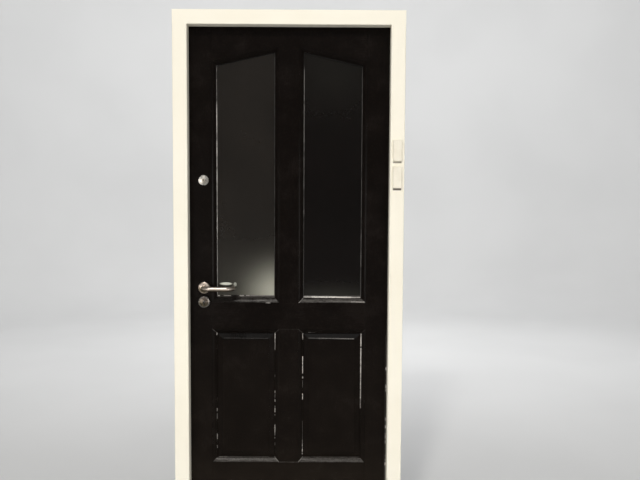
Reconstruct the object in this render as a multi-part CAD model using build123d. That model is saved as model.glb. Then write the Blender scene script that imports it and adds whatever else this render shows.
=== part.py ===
from build123d import *
import os
from math import hypot

# Panelled front door, part glazed, hung in a rebated timber frame.
# Millimetres. +X is right and +Z up as seen from outside, and -Y is outside.
# The origin is under the middle of the sill, below the outer face of the frame.

# How far a cut runs past the wood, and how near an edge lies to the place asked for
CUT_PAST = 2.0
EDGE_NEAR = 0.01

# Frame: face width, depth and the rebate that the leaf closes into
FRAME_FACE = 57.0
FRAME_DEEP = 94.0
REBATE_WIDE = 12.0
REBATE_DEEP = 47.0
FRAME_ARRIS = 2.0

# Sill and the water bar that stands in it
SILL_HIGH = 58.0
SILL_NOSE = 36.0
SILL_FALL = 13.0
DRIP_WIDE = 6.0
DRIP_DEEP = 5.0
DRIP_IN = 12.0
BAR_THICK = 4.0
BAR_STAND = 10.0
BAR_SET = 12.0
BAR_IN = 6.0
BAR_FRONT_GAP = 2.0
BAR_TOP_GAP = 4.0

# Weather seal, kerfed into the stop
SEAL_THICK = 3.0
SEAL_SET = 6.0
SEAL_IN = 4.0
SEAL_GAP = 0.3

# Leaf and its running gaps
LEAF_WIDE = 813.0
LEAF_HIGH = 2032.0
LEAF_THICK = 44.0
SIDE_GAP = 3.0
SILL_GAP = 4.0

# Joinery of the leaf: widths run to the sight lines, mouldings included
STILE_WIDE = 115.0
MUNTIN_WIDE = 115.0
PEAK_RAIL = 104.0
SPRING_RAIL = 157.0
LOCK_RAIL_HIGH = 145.0
LOWER_PANEL_HIGH = 513.0
BOTTOM_RAIL_HIGH = 289.0
LEAF_ARRIS = 1.0

# Stuck moulding: a quirk, a flat ovolo and a narrow land
MOULD_WIDE = 18.0
MOULD_DEEP = 12.0
MOULD_QUIRK = 1.5
MOULD_FILLET = 2.0
MOULD_LAND = 3.5
MOULD_BULGE_ALONG = 0.6
MOULD_BULGE_DEEP = 0.44

# Glazing
GLASS_SET = 20.0
GLASS_THICK = 6.0
GLASS_BITE = 10.0
GLASS_EDGE_GAP = 2.0
BEAD_BEVEL = 7.0
WEATHER_BEAD_HIGH = 9.0
WEATHER_BEAD_TOP = 1.5

# Raised and fielded panels
TONGUE_THICK = 12.0
TONGUE_BITE = 10.0
TONGUE_EDGE_GAP = 2.0
FIELD_MARGIN = 23.0
FIELD_SET = 4.0
FIELD_STEP = 3.0
FIELD_EASE = 0.8
PANEL_EDGE_GAP = 0.5

# Butt hinges: two plates, five knuckles and a loose pin
HINGE_HIGH = 100.0
HINGE_PLATE = 3.0
HINGE_PLATE_WIDE = 32.0
HINGE_PIN_OUT = 7.0
KNUCKLE_R = 6.0
KNUCKLES = 5
KNUCKLE_GAP = 0.4
PLATE_PROUD = 0.4
PIN_R = 3.0
PIN_CLEAR = 0.05
PIN_HEAD_R = 4.5
PIN_HEAD_HIGH = 3.0
HINGE_TOP = 200.0
HINGE_BOTTOM = 275.0

# Mortice sashlock
LEVER_UP = 988.0
KEY_DROP = 57.0
BACKSET = 65.0
FOREND_THICK = 3.0
FOREND_WIDE = 24.0
FOREND_PAST = 35.0
CASE_THICK = 15.0
CASE_DEEP = 84.0
CASE_ABOVE = 38.0
CASE_BELOW = 127.0
FOLLOWER_R = 9.0
FOLLOWER_GAP = 0.4
BOLT_GAP = 0.4
BOLT_BACK_GAP = 1.0
BOLT_THICK = 12.0
LATCH_HIGH = 21.0
LATCH_OUT = 12.0
LATCH_TAIL = 25.0
LATCH_FLAT = 3.0
NOSE_HEEL = 1.0
DEAD_HIGH = 37.0
DEAD_THROW = 20.0
DEAD_TAIL = 40.0
DEAD_SUNK = 0.4
KEYHOLE_R = 4.0
KEYHOLE_WIDE = 4.4
KEYHOLE_DROP = 11.0

# Mortice keep in the lock jamb
KEEP_THICK = 3.0
KEEP_WIDE = 26.0
KEEP_PAST = 28.0
KEEP_POCKET_GAP = 1.5
POCKET_SPARE = 5.0

# Lever handles, roses and keyhole escutcheons
LEVER_R = 9.5
LEVER_STAND = 50.0
LEVER_LONG = 128.0
LEVER_BEND = 28.0
LEVER_END_GAP = 16.0
LEVER_FOOT_GAP = 0.5
SPINDLE_SQUARE = 8.0
SPINDLE_IN_LEVER = 20.0
SPINDLE_HOLE_R = 8.0
ROSE_R = 24.0
ROSE_THICK = 8.0
ROSE_ROUND = 2.5
ROSE_BORE_GAP = 0.4

# Rim night latch, its outside cylinder and its keep
NIGHT_UP = 1420.0
NIGHT_BACKSET = 65.0
RING_R = 20.5
RING_THICK = 5.0
RING_EASE = 1.5
CYLINDER_R = 16.0
CYLINDER_PROUD = 6.0
CYLINDER_HOLE_GAP = 0.3
PLUG_R = 6.5
PLUG_PROUD = 0.6
PLUG_CLEAR = 0.05
PLUG_BACK_GAP = 4.0
KEYWAY_WIDE = 2.2
KEYWAY_HIGH = 9.0
KEYWAY_DEEP = 18.0
TAIL_WIDE = 6.0
TAIL_THICK = 2.0
TAIL_REACH = 14.0
TAIL_HOLE_R = 5.0
NIGHT_CASE_LONG = 92.0
NIGHT_CASE_HIGH = 66.0
NIGHT_CASE_THICK = 28.0
NIGHT_CASE_ROUND = 4.0
NIGHT_CASE_IN = 1.0
NIGHT_BOLT_HIGH = 24.0
NIGHT_BOLT_THICK = 12.0
NIGHT_BOLT_IN = 7.0
NIGHT_BOLT_OUT = 14.0
NIGHT_BOLT_TAIL = 24.0
NIGHT_BOLT_FLAT = 3.0
KNOB_R = 17.0
KNOB_THICK = 6.0
KNOB_STAND = 2.0
KNOB_STEM_R = 6.0
KNOB_STEM_IN = 8.0
KNOB_GRIP_THICK = 8.0
KNOB_GRIP_HIGH = 12.0
KNOB_GRIP_SHORT = 2.0
STEM_GAP = 0.4
SNIB_LONG = 10.0
SNIB_HIGH = 6.0
SNIB_PROUD = 3.0
SNIB_IN = 3.0
SNIB_TRAVEL = 8.0
SNIB_UP = 22.0
SNIB_GAP = 0.4
STAPLE_WIDE = 34.0
STAPLE_HIGH = 60.0
STAPLE_WALL = 4.0
STAPLE_FROM_EDGE = 1.0
STAPLE_ROUND = 3.0

# Screw holes that fix the jambs to the wall
FIXING_R = 4.0
FIXING_IN = 24.0
FIXING_FROM_END = 105.0
FIXING_INNER_PITCH = 630.0

# Two small plastic boxes on the face of the hinge jamb
JAMB_BOX_WIDE = 35.0
JAMB_BOX_THICK = 12.0
JAMB_BOX_ROUND = 5.0
JAMB_BOX_EASE = 2.5
UPPER_BOX_HIGH = 85.0
LOWER_BOX_HIGH = 85.0
LOWER_BOX_UP = 1454.0
BOXES_APART = 20.0
JAMB_BOX_IN = 11.0

# Places that follow from the sizes
LEAF_X = LEAF_WIDE / 2
REBATE_X = LEAF_X + SIDE_GAP
SIGHT_X = REBATE_X - REBATE_WIDE
FRAME_X = SIGHT_X + FRAME_FACE
STOP_Y = FRAME_DEEP - REBATE_DEEP
LEAF_BACK = FRAME_DEEP
LEAF_FRONT = LEAF_BACK - LEAF_THICK
LEAF_BOTTOM = SILL_HIGH + SILL_GAP
LEAF_TOP = LEAF_BOTTOM + LEAF_HIGH
HEAD_REBATE_Z = LEAF_TOP + SIDE_GAP
HEAD_SIGHT_Z = HEAD_REBATE_Z - REBATE_WIDE
FRAME_TOP = HEAD_SIGHT_Z + FRAME_FACE
BAR_Y = LEAF_FRONT + BAR_IN
GLASS_Y = LEAF_FRONT + GLASS_SET
GLASS_BACK = GLASS_Y + GLASS_THICK
GLASS_REBATE = GLASS_BITE + GLASS_EDGE_GAP
GROOVE = TONGUE_BITE + TONGUE_EDGE_GAP
TONGUE_Y = (LEAF_FRONT + LEAF_BACK - TONGUE_THICK) / 2
LOWER_BOTTOM_Z = LEAF_BOTTOM + BOTTOM_RAIL_HIGH
LOWER_TOP_Z = LOWER_BOTTOM_Z + LOWER_PANEL_HIGH
PANE_BOTTOM_Z = LOWER_TOP_Z + LOCK_RAIL_HIGH
PIN_X = (LEAF_X + REBATE_X) / 2
PIN_Y = LEAF_BACK + HINGE_PIN_OUT
LEVER_X = -LEAF_X + BACKSET
LEVER_Z = LEAF_BOTTOM + LEVER_UP
KEY_Z = LEVER_Z - KEY_DROP
LOCK_Y = (LEAF_FRONT + LEAF_BACK) / 2
CASE_TOP = LEVER_Z + CASE_ABOVE
CASE_FOOT = LEVER_Z - CASE_BELOW
NIGHT_X = -LEAF_X + NIGHT_BACKSET
NIGHT_Z = LEAF_BOTTOM + NIGHT_UP
NIGHT_CASE_X = -LEAF_X + NIGHT_CASE_IN
NIGHT_CASE_Y = LEAF_BACK + NIGHT_CASE_THICK
NIGHT_BOLT_Y = LEAF_BACK + NIGHT_BOLT_IN

parts = {}


# Plain solids

def block(x0, x1, y0, y1, z0, z1):
    """Box between two corners."""
    middle = ((x0 + x1) / 2, (y0 + y1) / 2, (z0 + z1) / 2)
    return Pos(*middle) * Box(abs(x1 - x0), abs(y1 - y0), abs(z1 - z0))


def prism(points, direction):
    """Solid swept by the flat polygon through the points along a vector."""
    face = Face(Wire.make_polygon([Vector(*p) for p in points], close=True))
    way = Vector(*direction)
    return extrude(face, amount=way.length, dir=way.normalized())


def board(outline, y0, y1):
    """Board with an outline of x and z points, from depth y0 to y1."""
    return prism([(x, y0, z) for x, z in outline], (0, y1 - y0, 0))


def rail_x(section, x0, x1):
    """Bar along X with a section of y and z points."""
    return prism([(x0, y, z) for y, z in section], (x1 - x0, 0, 0))


def post_z(section, z0, z1):
    """Post along Z with a section of x and y points."""
    return prism([(x, y, z0) for x, y in section], (0, 0, z1 - z0))


def rod_y(radius, x, z, y0, y1):
    """Round bar along Y."""
    foot = Plane(origin=(x, y0, z), z_dir=(0, 1 if y1 > y0 else -1, 0))
    return extrude(foot * Circle(radius), amount=abs(y1 - y0))


def rod_z(radius, x, y, z0, z1):
    """Round bar along Z."""
    return extrude(Plane(origin=(x, y, z0)) * Circle(radius), amount=z1 - z0)


def edges_on(solid, axis, place):
    """Edges of a solid that lie wholly at one place along an axis."""
    return solid.edges().filter_by_position(axis, place - EDGE_NEAR, place + EDGE_NEAR)


# Outlines of the four openings in the leaf

def mirrored(outline):
    """The same outline on the other side of the leaf, corners in the same order."""
    return [(-x, z) for x, z in outline]


def offset_outline(outline, distance):
    """Outline moved outwards by a distance, or inwards by a negative one."""
    middle_x = sum(x for x, z in outline) / len(outline)
    middle_z = sum(z for x, z in outline) / len(outline)
    lines = []
    for (x0, z0), (x1, z1) in zip(outline, outline[1:] + outline[:1]):
        long = hypot(x1 - x0, z1 - z0)
        nx, nz = (z1 - z0) / long, (x0 - x1) / long
        if nx * (middle_x - x0) + nz * (middle_z - z0) > 0:
            nx, nz = -nx, -nz
        lines.append((nx, nz, nx * x0 + nz * z0 + distance))
    moved = []
    for (a, b, c), (d, e, f) in zip(lines[-1:] + lines[:-1], lines):
        det = a * e - b * d
        moved.append(((c * e - b * f) / det, (a * f - c * d) / det))
    return moved


# Sides of an opening, by the corner that each starts from
BOTTOM, MUNTIN_SIDE, TOP, STILE_SIDE = range(4)

outer_x = -LEAF_X + STILE_WIDE
inner_x = -MUNTIN_WIDE / 2
PANE = [
    (outer_x, PANE_BOTTOM_Z),
    (inner_x, PANE_BOTTOM_Z),
    (inner_x, LEAF_TOP - PEAK_RAIL),
    (outer_x, LEAF_TOP - SPRING_RAIL),
]
PANEL = [
    (outer_x, LOWER_BOTTOM_Z),
    (inner_x, LOWER_BOTTOM_Z),
    (inner_x, LOWER_TOP_Z),
    (outer_x, LOWER_TOP_Z),
]
PANE_FLAT = offset_outline(PANE, MOULD_WIDE)
PANEL_FLAT = offset_outline(PANEL, MOULD_WIDE)


def side_plane(outline, side, y, inwards_y):
    """Plane across one side of an opening: its x runs into the opening, its y into the wood."""
    x0, z0 = outline[side]
    x1, z1 = outline[(side + 1) % len(outline)]
    long = hypot(x1 - x0, z1 - z0)
    u = Vector((z1 - z0) / long, 0, (x0 - x1) / long)
    middle_x = sum(x for x, z in outline) / len(outline)
    middle_z = sum(z for x, z in outline) / len(outline)
    if u.X * (middle_x - x0) + u.Z * (middle_z - z0) < 0:
        u = -u
    v = Vector(0, inwards_y, 0)
    origin = ((x0 + x1) / 2, y, (z0 + z1) / 2)
    return Plane(origin=origin, x_dir=u, z_dir=u.cross(v)), long


def mould_section():
    """What the cutter of the stuck moulding takes away, from the flat face inwards."""
    start = (0.0, MOULD_QUIRK)
    foot = (MOULD_WIDE - MOULD_LAND, MOULD_DEEP - MOULD_FILLET)
    rise = foot[1] - start[1]
    bulge = (foot[0] * MOULD_BULGE_ALONG, start[1] + rise * MOULD_BULGE_DEEP)
    past = MOULD_WIDE + CUT_PAST / 2
    ovolo = ThreePointArc(start, bulge, foot)
    rest = Polyline(
        foot,
        (foot[0], MOULD_DEEP),
        (past, MOULD_DEEP),
        (past, -CUT_PAST),
        (0, -CUT_PAST),
        start,
    )
    return make_face(ovolo + rest)


def side_box(outline, side, u0, y0, y1):
    """Straight cut along one side of an opening, from u0 into the opening, between two depths."""
    plane, long = side_plane(outline, side, y0, 1)
    past = MOULD_WIDE + CUT_PAST / 2
    corners = [(u0, 0), (past, 0), (past, y1 - y0), (u0, y1 - y0)]
    face = plane * make_face(Polyline(*corners, close=True))
    return extrude(face, amount=long / 2 + CUT_PAST, both=True)


def side_mould(outline, side, y, inwards_y):
    """Cutter of the stuck moulding along one side of an opening."""
    plane, long = side_plane(outline, side, y, inwards_y)
    return extrude(plane * mould_section(), amount=long / 2 + CUT_PAST, both=True)


def pane_cuts(flat, side):
    """Moulding outside and glazing rebate inside, along one side of a pane."""
    rebate = side_box(flat, side, MOULD_WIDE - GLASS_REBATE, GLASS_Y, LEAF_BACK + CUT_PAST)
    return side_mould(flat, side, LEAF_FRONT, 1) + rebate


def panel_cuts(flat, side):
    """Mouldings on both faces and the groove between, along one side of a panel."""
    groove = side_box(flat, side, MOULD_WIDE - GROOVE, TONGUE_Y, TONGUE_Y + TONGUE_THICK)
    outside = side_mould(flat, side, LEAF_FRONT, 1)
    inside = side_mould(flat, side, LEAF_BACK, -1)
    return outside + inside + groove


# Leaf joinery

def foot_rebate():
    """Rebate under the leaf that passes over the water bar."""
    back = BAR_Y + BAR_THICK + BAR_FRONT_GAP
    top = SILL_HIGH + BAR_STAND + BAR_TOP_GAP
    wide = LEAF_X + CUT_PAST
    return block(-wide, wide, LEAF_FRONT - CUT_PAST, back, LEAF_BOTTOM - CUT_PAST, top)


def leaf_arris():
    """What easing takes off the long edges and the top edges of the leaf."""
    past = LEAF_ARRIS + CUT_PAST
    edge = LEAF_X + LEAF_ARRIS
    cuts = []
    for y in (LEAF_FRONT, LEAF_BACK):
        out = -LEAF_ARRIS if y == LEAF_FRONT else LEAF_ARRIS
        for side in (-1, 1):
            near = edge - 3 * LEAF_ARRIS
            corner = [(side * edge, y + out), (side * edge, y - 2 * out), (side * near, y + out)]
            cuts.append(post_z(corner, LEAF_BOTTOM - past, LEAF_TOP + past))
        top = LEAF_TOP + LEAF_ARRIS
        corner = [(y + out, top), (y - 2 * out, top), (y + out, top - 3 * LEAF_ARRIS)]
        cuts.append(rail_x(corner, -edge - CUT_PAST, edge + CUT_PAST))
    return cuts


def stile():
    """Stile of the lock side, full height, before its hardware is cut in."""
    shoulder = PANE_FLAT[0][0]
    outline = [
        (-LEAF_X, LEAF_BOTTOM),
        (shoulder, LEAF_BOTTOM),
        PANEL_FLAT[0],
        PANEL[0],
        PANEL[3],
        PANEL_FLAT[3],
        PANE_FLAT[0],
        PANE[0],
        PANE[3],
        PANE_FLAT[3],
        (shoulder, LEAF_TOP),
        (-LEAF_X, LEAF_TOP),
    ]
    solid = board(outline, LEAF_FRONT, LEAF_BACK)
    solid -= pane_cuts(PANE_FLAT, STILE_SIDE)
    solid -= panel_cuts(PANEL_FLAT, STILE_SIDE)
    return solid - foot_rebate() - leaf_arris()


def both_sides(cuts, flat, side):
    """The same cuts for the left and the right opening."""
    return cuts(flat, side) + cuts(mirrored(flat), side)


def top_rail():
    """Top rail, its lower edge rising to the middle over each pane."""
    left = [PANE_FLAT[3], PANE[3], PANE[2], PANE_FLAT[2]]
    right = mirrored(left)[::-1]
    ends = [(-PANE_FLAT[3][0], LEAF_TOP), (PANE_FLAT[3][0], LEAF_TOP)]
    solid = board(left + right + ends, LEAF_FRONT, LEAF_BACK)
    return solid - both_sides(pane_cuts, PANE_FLAT, TOP) - leaf_arris()


def lock_rail():
    """Lock rail between the panes and the panels."""
    upper = [PANE_FLAT[0], PANE[0], PANE[1], PANE_FLAT[1]]
    lower = [PANEL_FLAT[2], PANEL[2], PANEL[3], PANEL_FLAT[3]]
    outline = upper + mirrored(upper)[::-1] + mirrored(lower)[::-1] + lower
    solid = board(outline, LEAF_FRONT, LEAF_BACK)
    solid -= both_sides(pane_cuts, PANE_FLAT, BOTTOM)
    return solid - both_sides(panel_cuts, PANEL_FLAT, TOP)


def bottom_rail():
    """Deep bottom rail, rebated over the water bar."""
    upper = [PANEL_FLAT[0], PANEL[0], PANEL[1], PANEL_FLAT[1]]
    foot = [(-PANEL_FLAT[0][0], LEAF_BOTTOM), (PANEL_FLAT[0][0], LEAF_BOTTOM)]
    solid = board(upper + mirrored(upper)[::-1] + foot, LEAF_FRONT, LEAF_BACK)
    solid -= both_sides(panel_cuts, PANEL_FLAT, BOTTOM)
    return solid - foot_rebate()


def muntin(sight, flat, cuts):
    """Upright between two openings, its mouldings mitred into the rails."""
    left = [flat[2], sight[2], sight[1], flat[1]]
    solid = board(left + mirrored(left)[::-1], LEAF_FRONT, LEAF_BACK)
    return solid - both_sides(cuts, flat, MUNTIN_SIDE)


def glass(sight):
    """Pane, bitten by the rebate all round."""
    return board(offset_outline(sight, GLASS_BITE), GLASS_Y, GLASS_BACK)


def glazing_bead(sight, side):
    """Bevelled bead with mitred ends that holds the glass from inside."""
    outer = offset_outline(sight, GLASS_REBATE)
    following = (side + 1) % len(sight)
    quad = [outer[side], outer[following], sight[following], sight[side]]
    bead = board(quad, GLASS_BACK, LEAF_BACK)
    plane, long = side_plane(sight, side, LEAF_BACK, -1)
    corners = [
        (-BEAD_BEVEL, 0),
        (-BEAD_BEVEL, -CUT_PAST),
        (CUT_PAST, -CUT_PAST),
        (CUT_PAST, BEAD_BEVEL + CUT_PAST),
    ]
    bevel = plane * make_face(Polyline(*corners, close=True))
    return bead - extrude(bevel, amount=long, both=True)


def weather_bead(sight):
    """Sloping bead at the foot of a pane outside, which sheds water off the glass."""
    front = LEAF_FRONT + MOULD_DEEP
    foot = sight[0][1]
    top = foot + WEATHER_BEAD_HIGH
    section = [(front, foot), (GLASS_Y, foot), (GLASS_Y, top), (GLASS_Y - WEATHER_BEAD_TOP, top)]
    return rail_x(section, sight[0][0], sight[1][0])


def fielding(sight, tongue_y, face_y):
    """Bevelled margin and raised field on one face of a panel."""
    out = 1 if face_y > tongue_y else -1
    field_y = face_y - out * FIELD_SET
    step_y = field_y - out * FIELD_STEP
    low = offset_outline(sight, -PANEL_EDGE_GAP)
    high = offset_outline(sight, -FIELD_MARGIN)
    foot = Wire.make_polygon([Vector(x, tongue_y, z) for x, z in low], close=True)
    head = Wire.make_polygon([Vector(x, step_y, z) for x, z in high], close=True)
    margin = Solid.make_loft([foot, head], True)
    field = board(high, step_y, field_y)
    field = chamfer(edges_on(field, Axis.Y, field_y), FIELD_EASE)
    return margin + field


def raised_panel(sight):
    """Panel with a tongue all round and a raised field on both faces."""
    tongue = board(offset_outline(sight, TONGUE_BITE), TONGUE_Y, TONGUE_Y + TONGUE_THICK)
    outside = fielding(sight, TONGUE_Y, LEAF_FRONT)
    inside = fielding(sight, TONGUE_Y + TONGUE_THICK, LEAF_BACK)
    return tongue + outside + inside


# Frame

def frame_section(sight, rebate, back):
    """Section of the jambs and head: points along the width and the depth."""
    arris = FRAME_ARRIS if back > sight else -FRAME_ARRIS
    return [
        (sight + arris, 0),
        (back - arris, 0),
        (back, FRAME_ARRIS),
        (back, FRAME_DEEP),
        (rebate, FRAME_DEEP),
        (rebate, STOP_Y),
        (sight, STOP_Y),
        (sight, FRAME_ARRIS),
    ]


def sill_section():
    """Section of the sill, weathered outside the leaf, with a drip under its nose."""
    drip = -SILL_NOSE + DRIP_IN
    return [
        (-SILL_NOSE, 0),
        (-SILL_NOSE, SILL_HIGH - SILL_FALL),
        (STOP_Y, SILL_HIGH),
        (FRAME_DEEP, SILL_HIGH),
        (FRAME_DEEP, 0),
        (drip + DRIP_WIDE, 0),
        (drip + DRIP_WIDE, DRIP_DEEP),
        (drip, DRIP_DEEP),
        (drip, 0),
    ]


def water_bar():
    """Metal bar that stands in the sill behind the foot of the leaf."""
    low, high = SILL_HIGH - BAR_SET, SILL_HIGH + BAR_STAND
    return block(-REBATE_X, REBATE_X, BAR_Y, BAR_Y + BAR_THICK, low, high)


def sill():
    """Sill under both jambs."""
    return rail_x(sill_section(), -FRAME_X, FRAME_X) - water_bar()


def head_bar():
    """Head as a plain rebated bar across both jambs."""
    section = frame_section(HEAD_SIGHT_Z, HEAD_REBATE_Z, FRAME_TOP)
    return rail_x([(y, z) for z, y in section], -FRAME_X, FRAME_X)


def seal_post(side):
    """One upright of the weather seal, in the kerf of its jamb's stop."""
    near = side * (SIGHT_X + SEAL_IN)
    far = near + side * SEAL_THICK
    top = HEAD_SIGHT_Z + SEAL_IN + SEAL_THICK
    return block(near, far, STOP_Y - SEAL_SET, LEAF_FRONT - SEAL_GAP, SILL_HIGH, top)


def seal_head():
    """The seal's run under the head, between its two uprights."""
    wide = SIGHT_X + SEAL_IN
    low = HEAD_SIGHT_Z + SEAL_IN
    return block(-wide, wide, STOP_Y - SEAL_SET, LEAF_FRONT - SEAL_GAP, low, low + SEAL_THICK)


def fixing_heights():
    """Heights of the four screw holes in each jamb."""
    low = SILL_HIGH + FIXING_FROM_END
    high = HEAD_REBATE_Z - FIXING_FROM_END
    middle = (low + high) / 2
    half = FIXING_INNER_PITCH / 2
    return [low, middle - half, middle + half, high]


def jamb(side):
    """Jamb scribed to the sill and to the head, before its hardware is cut in."""
    section = frame_section(side * SIGHT_X, side * REBATE_X, side * FRAME_X)
    solid = post_z(section, SILL_HIGH - SILL_FALL - CUT_PAST, HEAD_REBATE_Z)
    solid -= rail_x(sill_section(), -FRAME_X, FRAME_X)
    solid -= head_bar()
    solid -= seal_post(side)
    for z in fixing_heights():
        start = (side * (REBATE_X - CUT_PAST), FRAME_DEEP - FIXING_IN, z)
        hole = Plane(origin=start, z_dir=(side, 0, 0)) * Circle(FIXING_R)
        solid -= extrude(hole, amount=FRAME_X - REBATE_X + 2 * CUT_PAST)
    return solid


# Hinges

def hinge_heights():
    """Middle heights of the bottom, middle and top hinge."""
    low = LEAF_BOTTOM + HINGE_BOTTOM
    high = LEAF_TOP - HINGE_TOP
    return {"bottom": low, "middle": (low + high) / 2, "top": high}


def plate_recess(x, z):
    """Plate of a hinge as let into the wood, at one side of the gap."""
    side = 1 if x > PIN_X else -1
    low, high = z - HINGE_HIGH / 2, z + HINGE_HIGH / 2
    front = LEAF_BACK - HINGE_PLATE_WIDE
    return block(x, x + side * HINGE_PLATE, front, LEAF_BACK + PLATE_PROUD, low, high)


def hinge_plate(x, z, first):
    """Hinge plate with every second knuckle, from the first one named."""
    side = 1 if x > PIN_X else -1
    solid = plate_recess(x, z)
    pitch = HINGE_HIGH / KNUCKLES
    for index in range(first, KNUCKLES, 2):
        low = z - HINGE_HIGH / 2 + index * pitch + KNUCKLE_GAP / 2
        high = low + pitch - KNUCKLE_GAP
        solid += block(x, x + side * HINGE_PLATE, LEAF_BACK, PIN_Y, low, high)
        solid += rod_z(KNUCKLE_R, PIN_X, PIN_Y, low, high)
    reach = HINGE_HIGH / 2 + CUT_PAST
    return solid - rod_z(PIN_R + PIN_CLEAR, PIN_X, PIN_Y, z - reach, z + reach)


def hinge_pin(z):
    """Loose pin with a button at each end."""
    half = HINGE_HIGH / 2
    pin = rod_z(PIN_R, PIN_X, PIN_Y, z - half, z + half)
    pin += rod_z(PIN_HEAD_R, PIN_X, PIN_Y, z + half, z + half + PIN_HEAD_HIGH)
    return pin + rod_z(PIN_HEAD_R, PIN_X, PIN_Y, z - half - PIN_HEAD_HIGH, z - half)


# Sashlock

def bolt_block(x0, x1, z, high, gap):
    """Bolt or its channel, centred on the thickness of the leaf."""
    half_y = BOLT_THICK / 2 + gap
    half_z = high / 2 + gap
    return block(x0, x1, LOCK_Y - half_y, LOCK_Y + half_y, z - half_z, z + half_z)


def keyhole(y0, y1):
    """Keyhole: a round head over a straight slot."""
    slot = block(
        LEVER_X - KEYHOLE_WIDE / 2, LEVER_X + KEYHOLE_WIDE / 2, y0, y1, KEY_Z - KEYHOLE_DROP, KEY_Z
    )
    return rod_y(KEYHOLE_R, LEVER_X, KEY_Z, y0, y1) + slot


def case_block():
    """Body of the sashlock without its bores."""
    near = -LEAF_X + FOREND_THICK
    half = CASE_THICK / 2
    return block(near, near + CASE_DEEP, LOCK_Y - half, LOCK_Y + half, CASE_FOOT, CASE_TOP)


def forend_block():
    """Forend plate without its openings."""
    half = FOREND_WIDE / 2
    low, high = CASE_FOOT - FOREND_PAST, CASE_TOP + FOREND_PAST
    return block(-LEAF_X, -LEAF_X + FOREND_THICK, LOCK_Y - half, LOCK_Y + half, low, high)


def latch_channel():
    """Room for the latch bolt when it is drawn back."""
    far = -LEAF_X + LATCH_TAIL + LATCH_OUT + BOLT_BACK_GAP
    return bolt_block(-LEAF_X - CUT_PAST, far, LEVER_Z, LATCH_HIGH, BOLT_GAP)


def dead_channel():
    """Room for the deadbolt."""
    far = -LEAF_X + DEAD_TAIL + BOLT_BACK_GAP
    return bolt_block(-LEAF_X - CUT_PAST, far, KEY_Z, DEAD_HIGH, BOLT_GAP)


def lock_case():
    """Sashlock case with its bolt channels, follower bore and keyhole."""
    near, far = LEAF_FRONT, LEAF_BACK
    solid = case_block() - latch_channel() - dead_channel()
    solid -= rod_y(FOLLOWER_R + FOLLOWER_GAP, LEVER_X, LEVER_Z, near, far)
    return solid - keyhole(near, far)


def lock_forend():
    """Forend plate with both bolt openings."""
    return forend_block() - latch_channel() - dead_channel()


def follower():
    """Hub in the case that the spindle turns."""
    half = CASE_THICK / 2 - FOLLOWER_GAP
    hub = rod_y(FOLLOWER_R, LEVER_X, LEVER_Z, LOCK_Y - half, LOCK_Y + half)
    return hub - spindle_bar(CUT_PAST)


def nosed_bolt(out, tail, near_y, thick, flat, z, high):
    """Bolt standing out of the leaf's edge, its nose bevelled towards the outside."""
    nose = -LEAF_X - out
    far_y = near_y + thick
    section = [
        (-LEAF_X + tail, near_y),
        (-LEAF_X + tail, far_y),
        (nose, far_y),
        (nose, far_y - flat),
        (-LEAF_X - NOSE_HEEL, near_y),
    ]
    return post_z(section, z - high / 2, z + high / 2)


def latch_bolt():
    """Bevelled bolt that the levers draw back."""
    near_y = LOCK_Y - BOLT_THICK / 2
    return nosed_bolt(LATCH_OUT, LATCH_TAIL, near_y, BOLT_THICK, LATCH_FLAT, LEVER_Z, LATCH_HIGH)


def deadbolt():
    """Square bolt, drawn back in the forend at rest."""
    near = -LEAF_X + DEAD_SUNK
    return bolt_block(near, near + DEAD_TAIL - DEAD_SUNK, KEY_Z, DEAD_HIGH, 0)


def keep_block():
    """Mortice keep without its openings, let into the rebate of the lock jamb."""
    half = KEEP_WIDE / 2
    low, high = KEY_Z - DEAD_HIGH / 2 - KEEP_PAST, LEVER_Z + LATCH_HIGH / 2 + KEEP_PAST
    return block(-REBATE_X - KEEP_THICK, -REBATE_X, LOCK_Y - half, LOCK_Y + half, low, high)


def keep_pockets():
    """Pockets behind the keep for the latch bolt and the thrown deadbolt."""
    gap = KEEP_POCKET_GAP
    near = -REBATE_X + CUT_PAST
    latch = bolt_block(-LEAF_X - LATCH_OUT - POCKET_SPARE, near, LEVER_Z, LATCH_HIGH, gap)
    dead = bolt_block(-LEAF_X - DEAD_THROW - POCKET_SPARE, near, KEY_Z, DEAD_HIGH, gap)
    return latch + dead


# Handles

def spindle_bar(extra):
    """Square spindle between the two levers, longer by an extra at each end."""
    half = SPINDLE_SQUARE / 2
    low = LEAF_FRONT - SPINDLE_IN_LEVER - extra
    high = LEAF_BACK + SPINDLE_IN_LEVER + extra
    return block(LEVER_X - half, LEVER_X + half, low, high, LEVER_Z - half, LEVER_Z + half)


def lever(out):
    """Round bar lever that turns back to the door at its end. out is -1 outside, 1 inside."""
    face = LEAF_FRONT if out < 0 else LEAF_BACK
    bar_y = face + out * LEVER_STAND
    end_x = LEVER_X + LEVER_LONG - LEVER_R
    path = FilletPolyline(
        (LEVER_X, face + out * LEVER_FOOT_GAP, LEVER_Z),
        (LEVER_X, bar_y, LEVER_Z),
        (end_x, bar_y, LEVER_Z),
        (end_x, face + out * LEVER_END_GAP, LEVER_Z),
        radius=LEVER_BEND,
    )
    foot = Plane(origin=path @ 0, z_dir=path % 0) * Circle(LEVER_R)
    return sweep(foot, path=path) - spindle_bar(0)


def rose(z, out):
    """Round rose on one face of the leaf, its rim rounded over."""
    face = LEAF_FRONT if out < 0 else LEAF_BACK
    top = face + out * ROSE_THICK
    disc = rod_y(ROSE_R, LEVER_X, z, face, top)
    return fillet(edges_on(disc, Axis.Y, top), ROSE_ROUND)


def lever_rose(out):
    """Rose with the bore that the lever's neck turns in."""
    bore = rod_y(LEVER_R + ROSE_BORE_GAP, LEVER_X, LEVER_Z, 0, LEAF_BACK + LEVER_STAND)
    return rose(LEVER_Z, out) - bore


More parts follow.
